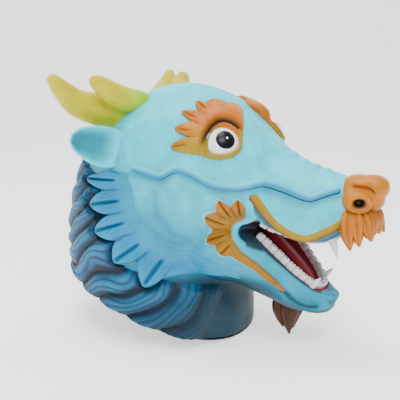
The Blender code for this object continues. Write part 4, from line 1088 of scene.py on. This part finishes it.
# Lamps in row metres: name, place, share of the key light's power, edge length
LAMPS = (("key_softbox", (0.75, -1.1, 1.25), 1.0, 0.9), ("top_softbox", (-0.1, -0.1, 1.6), 1.0, 1.0),
         ("fill_softbox", (-1.3, -0.7, 0.3), 0.2, 1.2))
STAGE_TARGET = np.array((0.06, 0.0, -SEAT * 0.001))
PHOTO_EYE = np.array((0.46, -0.6928, 0.17 - SEAT * 0.001))
PHOTO_LENS = 62.64
# The paper runs away from the photo's camera, 30 degrees round
SWEEP_TURN = math.radians(30)
FLOOR_GAP = 0.0015


def aimed(name, data, place):
    """Object of a lamp or camera at a place, with its Z axis away from the stage's target."""
    holder = bpy.data.objects.new(name, data)
    holder.location = place
    holder.rotation_mode = "QUATERNION"
    holder.rotation_quaternion = bpy_vector(np.array(place) - STAGE_TARGET).to_track_quat("Z", "Y")
    bpy.context.scene.collection.objects.link(holder)
    return holder


def build_stage(look):
    """Paper floor that curves up behind on a quarter circle of 1 m, soft lamps, and the camera of the photo."""
    low = min(corner[2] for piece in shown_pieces() for corner in piece.bound_box) - FLOOR_GAP
    turn = np.linspace(0, math.pi / 2, 24)
    bend = np.stack((1.2 + np.sin(turn), low + 1 - np.cos(turn)), 1)
    profile = np.concatenate(([(-3.0, low)], bend, [(2.2, low + 4)]))
    across = np.linspace(-4, 4, 3)
    way = np.array((-math.sin(SWEEP_TURN), math.cos(SWEEP_TURN)))
    side = np.array((way[1], -way[0]))
    flat = profile[:, None, :1] * way + across[None, :, None] * side
    grid = np.concatenate((flat, np.broadcast_to(profile[:, None, 1:], (*flat.shape[:2], 1))), axis=2)
    floor = build_mesh("studio_floor", [(table_frame(grid), "flat")], (0, 0, 5))
    paper = bpy.data.materials.new("white_paper_sweep")
    paper.use_nodes = True
    # Matt paper that glows a little, so that the background stays pale and the shadow soft
    node(paper.node_tree, "Principled BSDF", {"Base Color": (0.92, 0.92, 0.92, 1), "Roughness": 0.9,
                                              "Emission Color": (1, 1, 1, 1), "Emission Strength": 0.9})
    floor.data.materials.append(paper)
    floor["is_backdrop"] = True
    for name, place, share, size in LAMPS:
        lamp = bpy.data.lights.new(name, "AREA")
        lamp.energy = look.key_power * share
        lamp.size = size
        holder = aimed(name, lamp, place)
        holder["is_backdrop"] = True
    world = bpy.data.worlds.new("studio_air")
    world.use_nodes = True
    node(world.node_tree, "Background", {"Color": (1, 1, 1, 1), "Strength": look.air})
    bpy.context.scene.world = world
    lens = bpy.data.cameras.new("photo_camera")
    lens.lens = PHOTO_LENS
    lens.sensor_width = 36
    bpy.context.scene.camera = aimed("photo_camera", lens, PHOTO_EYE)
    return floor


def bpy_vector(values):
    """A Blender vector of three numbers."""
    return Vector([float(value) for value in values])


def colour_property(title, value):
    """Text property that holds an sRGB hex colour."""
    return bpy.props.StringProperty(name=title, description=f"{title} as an sRGB hex colour", default=value)


class DragonMaskLook(bpy.types.PropertyGroup):
    """Sizes, light and paint of the mask."""

    skin_voxel: bpy.props.FloatProperty(name="Skin voxel", description="Skin mesh cell in mm", default=1.9,
                                        min=1.0)
    key_power: bpy.props.FloatProperty(name="Key power", description="Key light in watts", default=30.0,
                                       min=0.0, unit="POWER")
    air: bpy.props.FloatProperty(name="Air light", description="Strength of the even light", default=0.5,
                                 min=0.0, subtype="FACTOR")
    pupil: colour_property("Pupil", "#07080C")
    # Colour of the painted highlight on the eyes
    glint: colour_property("Glint", "#F4F5F8")
    # Painted shade colour for the nostrils
    nostril: colour_property("Nostril", "#0A0706")
    beard_dark: colour_property("Beard, dark", "#2A1407")
    skin_top: colour_property("Skin, top", "#2BD3E6")
    skin_low: colour_property("Skin, low", "#0C8FAE")
    skin_deep: colour_property("Skin, deep", "#0A5F8C")
    throat: colour_property("Throat", "#0A2E3C")
    # Painted shade colour under the upper lip, inside the lips and in the mouth corner
    lip_shade: colour_property("Inner lip", "#1C3646")
    mouth: colour_property("Mouth", "#7E1020")
    # Painted shade colour for the back of the mouth and the tongue's groove
    mouth_deep: colour_property("Mouth, deep", "#33080E")
    # Painted shade colour of the inner wall
    lining: colour_property("Lining", "#193A49")
    # Painted shade colour under the rolled fold
    crease: colour_property("Crease", "#08283C")
    frill: colour_property("Frill", "#0482B0")
    mane: colour_property("Mane", "#064A70")
    mane_dark: colour_property("Mane, dark", "#07192A")
    gold: colour_property("Gold", "#93640C")
    gold_dark: colour_property("Gold, dark", "#6F330D")
    olive: colour_property("Olive", "#A2920D")
    orange: colour_property("Orange", "#BA680B")
    nose: colour_property("Nose", "#BC6F0A")
    # Painted shadow colour under the brow's bulge
    brow_shadow: colour_property("Brow shadow", "#2A1204")
    beard: colour_property("Beard", "#482409")
    tooth: colour_property("Teeth", "#D6D2D6")
    eye_white: colour_property("Eye white", "#F5F1F6")
    # Painted shade colour for the ear's bowl
    ear_cup: colour_property("Ear cup", "#0A8394")
    horn_tip: colour_property("Horn tip", "#C4B600")
    horn_root: colour_property("Horn root", "#6ECC00")


class DRAGON_OT_skin(bpy.types.Operator):
    """Build the hollow latex head and its inner wall."""

    bl_idname = "dragon.skin"
    bl_label = "Skin"

    def execute(self, context):
        build_skin(context.scene.dragon_mask_look)
        build_lining(context.scene.dragon_mask_look)
        return {"FINISHED"}


class DRAGON_OT_frills(bpy.types.Operator):
    """Build the leaf work of the cheeks and mouth corners."""

    bl_idname = "dragon.frills"
    bl_label = "Frills and rosettes"

    def execute(self, context):
        build_frills(context.scene.dragon_mask_look)
        build_rosettes(context.scene.dragon_mask_look)
        return {"FINISHED"}


class DRAGON_OT_bands(bpy.types.Operator):
    """Build the rolled fold and the lip trim."""

    bl_idname = "dragon.bands"
    bl_label = "Fold and lip trim"

    def execute(self, context):
        build_fold(context.scene.dragon_mask_look)
        build_lip_trim(context.scene.dragon_mask_look)
        return {"FINISHED"}


class DRAGON_OT_mane(bpy.types.Operator):
    """Build the mane round the neck."""

    bl_idname = "dragon.mane"
    bl_label = "Mane"

    def execute(self, context):
        build_mane(context.scene.dragon_mask_look)
        return {"FINISHED"}


class DRAGON_OT_eyes(bpy.types.Operator):
    """Build the brows with their lids, and the eyeballs."""

    bl_idname = "dragon.eyes"
    bl_label = "Eyes and brows"

    def execute(self, context):
        build_brows(context.scene.dragon_mask_look)
        build_eyes(context.scene.dragon_mask_look)
        return {"FINISHED"}


class DRAGON_OT_horns(bpy.types.Operator):
    """Build the horns and the ears."""

    bl_idname = "dragon.horns"
    bl_label = "Horns and ears"

    def execute(self, context):
        build_horns(context.scene.dragon_mask_look)
        build_ears(context.scene.dragon_mask_look)
        return {"FINISHED"}


class DRAGON_OT_nose(bpy.types.Operator):
    """Build the nose, the moustache and the beard."""

    bl_idname = "dragon.nose"
    bl_label = "Nose and whiskers"

    def execute(self, context):
        build_nose(context.scene.dragon_mask_look)
        build_whiskers(context.scene.dragon_mask_look)
        return {"FINISHED"}


class DRAGON_OT_mouth(bpy.types.Operator):
    """Build the teeth and the tongue."""

    bl_idname = "dragon.mouth"
    bl_label = "Teeth and tongue"

    def execute(self, context):
        build_teeth(context.scene.dragon_mask_look)
        build_tongue(context.scene.dragon_mask_look)
        return {"FINISHED"}


class DRAGON_OT_stage(bpy.types.Operator):
    """Build the floor, the lamps and the camera."""

    bl_idname = "dragon.stage"
    bl_label = "Studio stage"

    def execute(self, context):
        build_stage(context.scene.dragon_mask_look)
        return {"FINISHED"}


OPERATORS = (DRAGON_OT_skin, DRAGON_OT_frills, DRAGON_OT_bands, DRAGON_OT_mane, DRAGON_OT_eyes,
             DRAGON_OT_horns, DRAGON_OT_nose, DRAGON_OT_mouth, DRAGON_OT_stage)


class DRAGON_PT_panel(bpy.types.Panel):
    """Sidebar panel with the look and the operators."""

    bl_label = "Dragon Mask"
    bl_idname = "DRAGON_PT_panel"
    bl_space_type = "VIEW_3D"
    bl_region_type = "UI"
    bl_category = "Dragon Mask"

    def draw(self, context):
        look = context.scene.dragon_mask_look
        for key in DragonMaskLook.__annotations__:
            self.layout.prop(look, key)
        for kind in OPERATORS:
            self.layout.operator(kind.bl_idname)


def register():
    """Register the look, the operators and the panel."""
    for kind in (DragonMaskLook, *OPERATORS, DRAGON_PT_panel):
        bpy.utils.register_class(kind)
    bpy.types.Scene.dragon_mask_look = bpy.props.PointerProperty(type=DragonMaskLook)


def unregister():
    """Take the add-on's classes out again."""
    del bpy.types.Scene.dragon_mask_look
    for kind in reversed((DragonMaskLook, *OPERATORS, DRAGON_PT_panel)):
        bpy.utils.unregister_class(kind)


def main():
    """Build every piece by its operator."""
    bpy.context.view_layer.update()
    register()
    for kind in OPERATORS:
        step = getattr(bpy.ops.dragon, kind.bl_idname.split(".")[1])
        if step() != {"FINISHED"}:
            raise RuntimeError(f"{kind.bl_idname} did not finish")


if __name__ == "__main__":
    main()
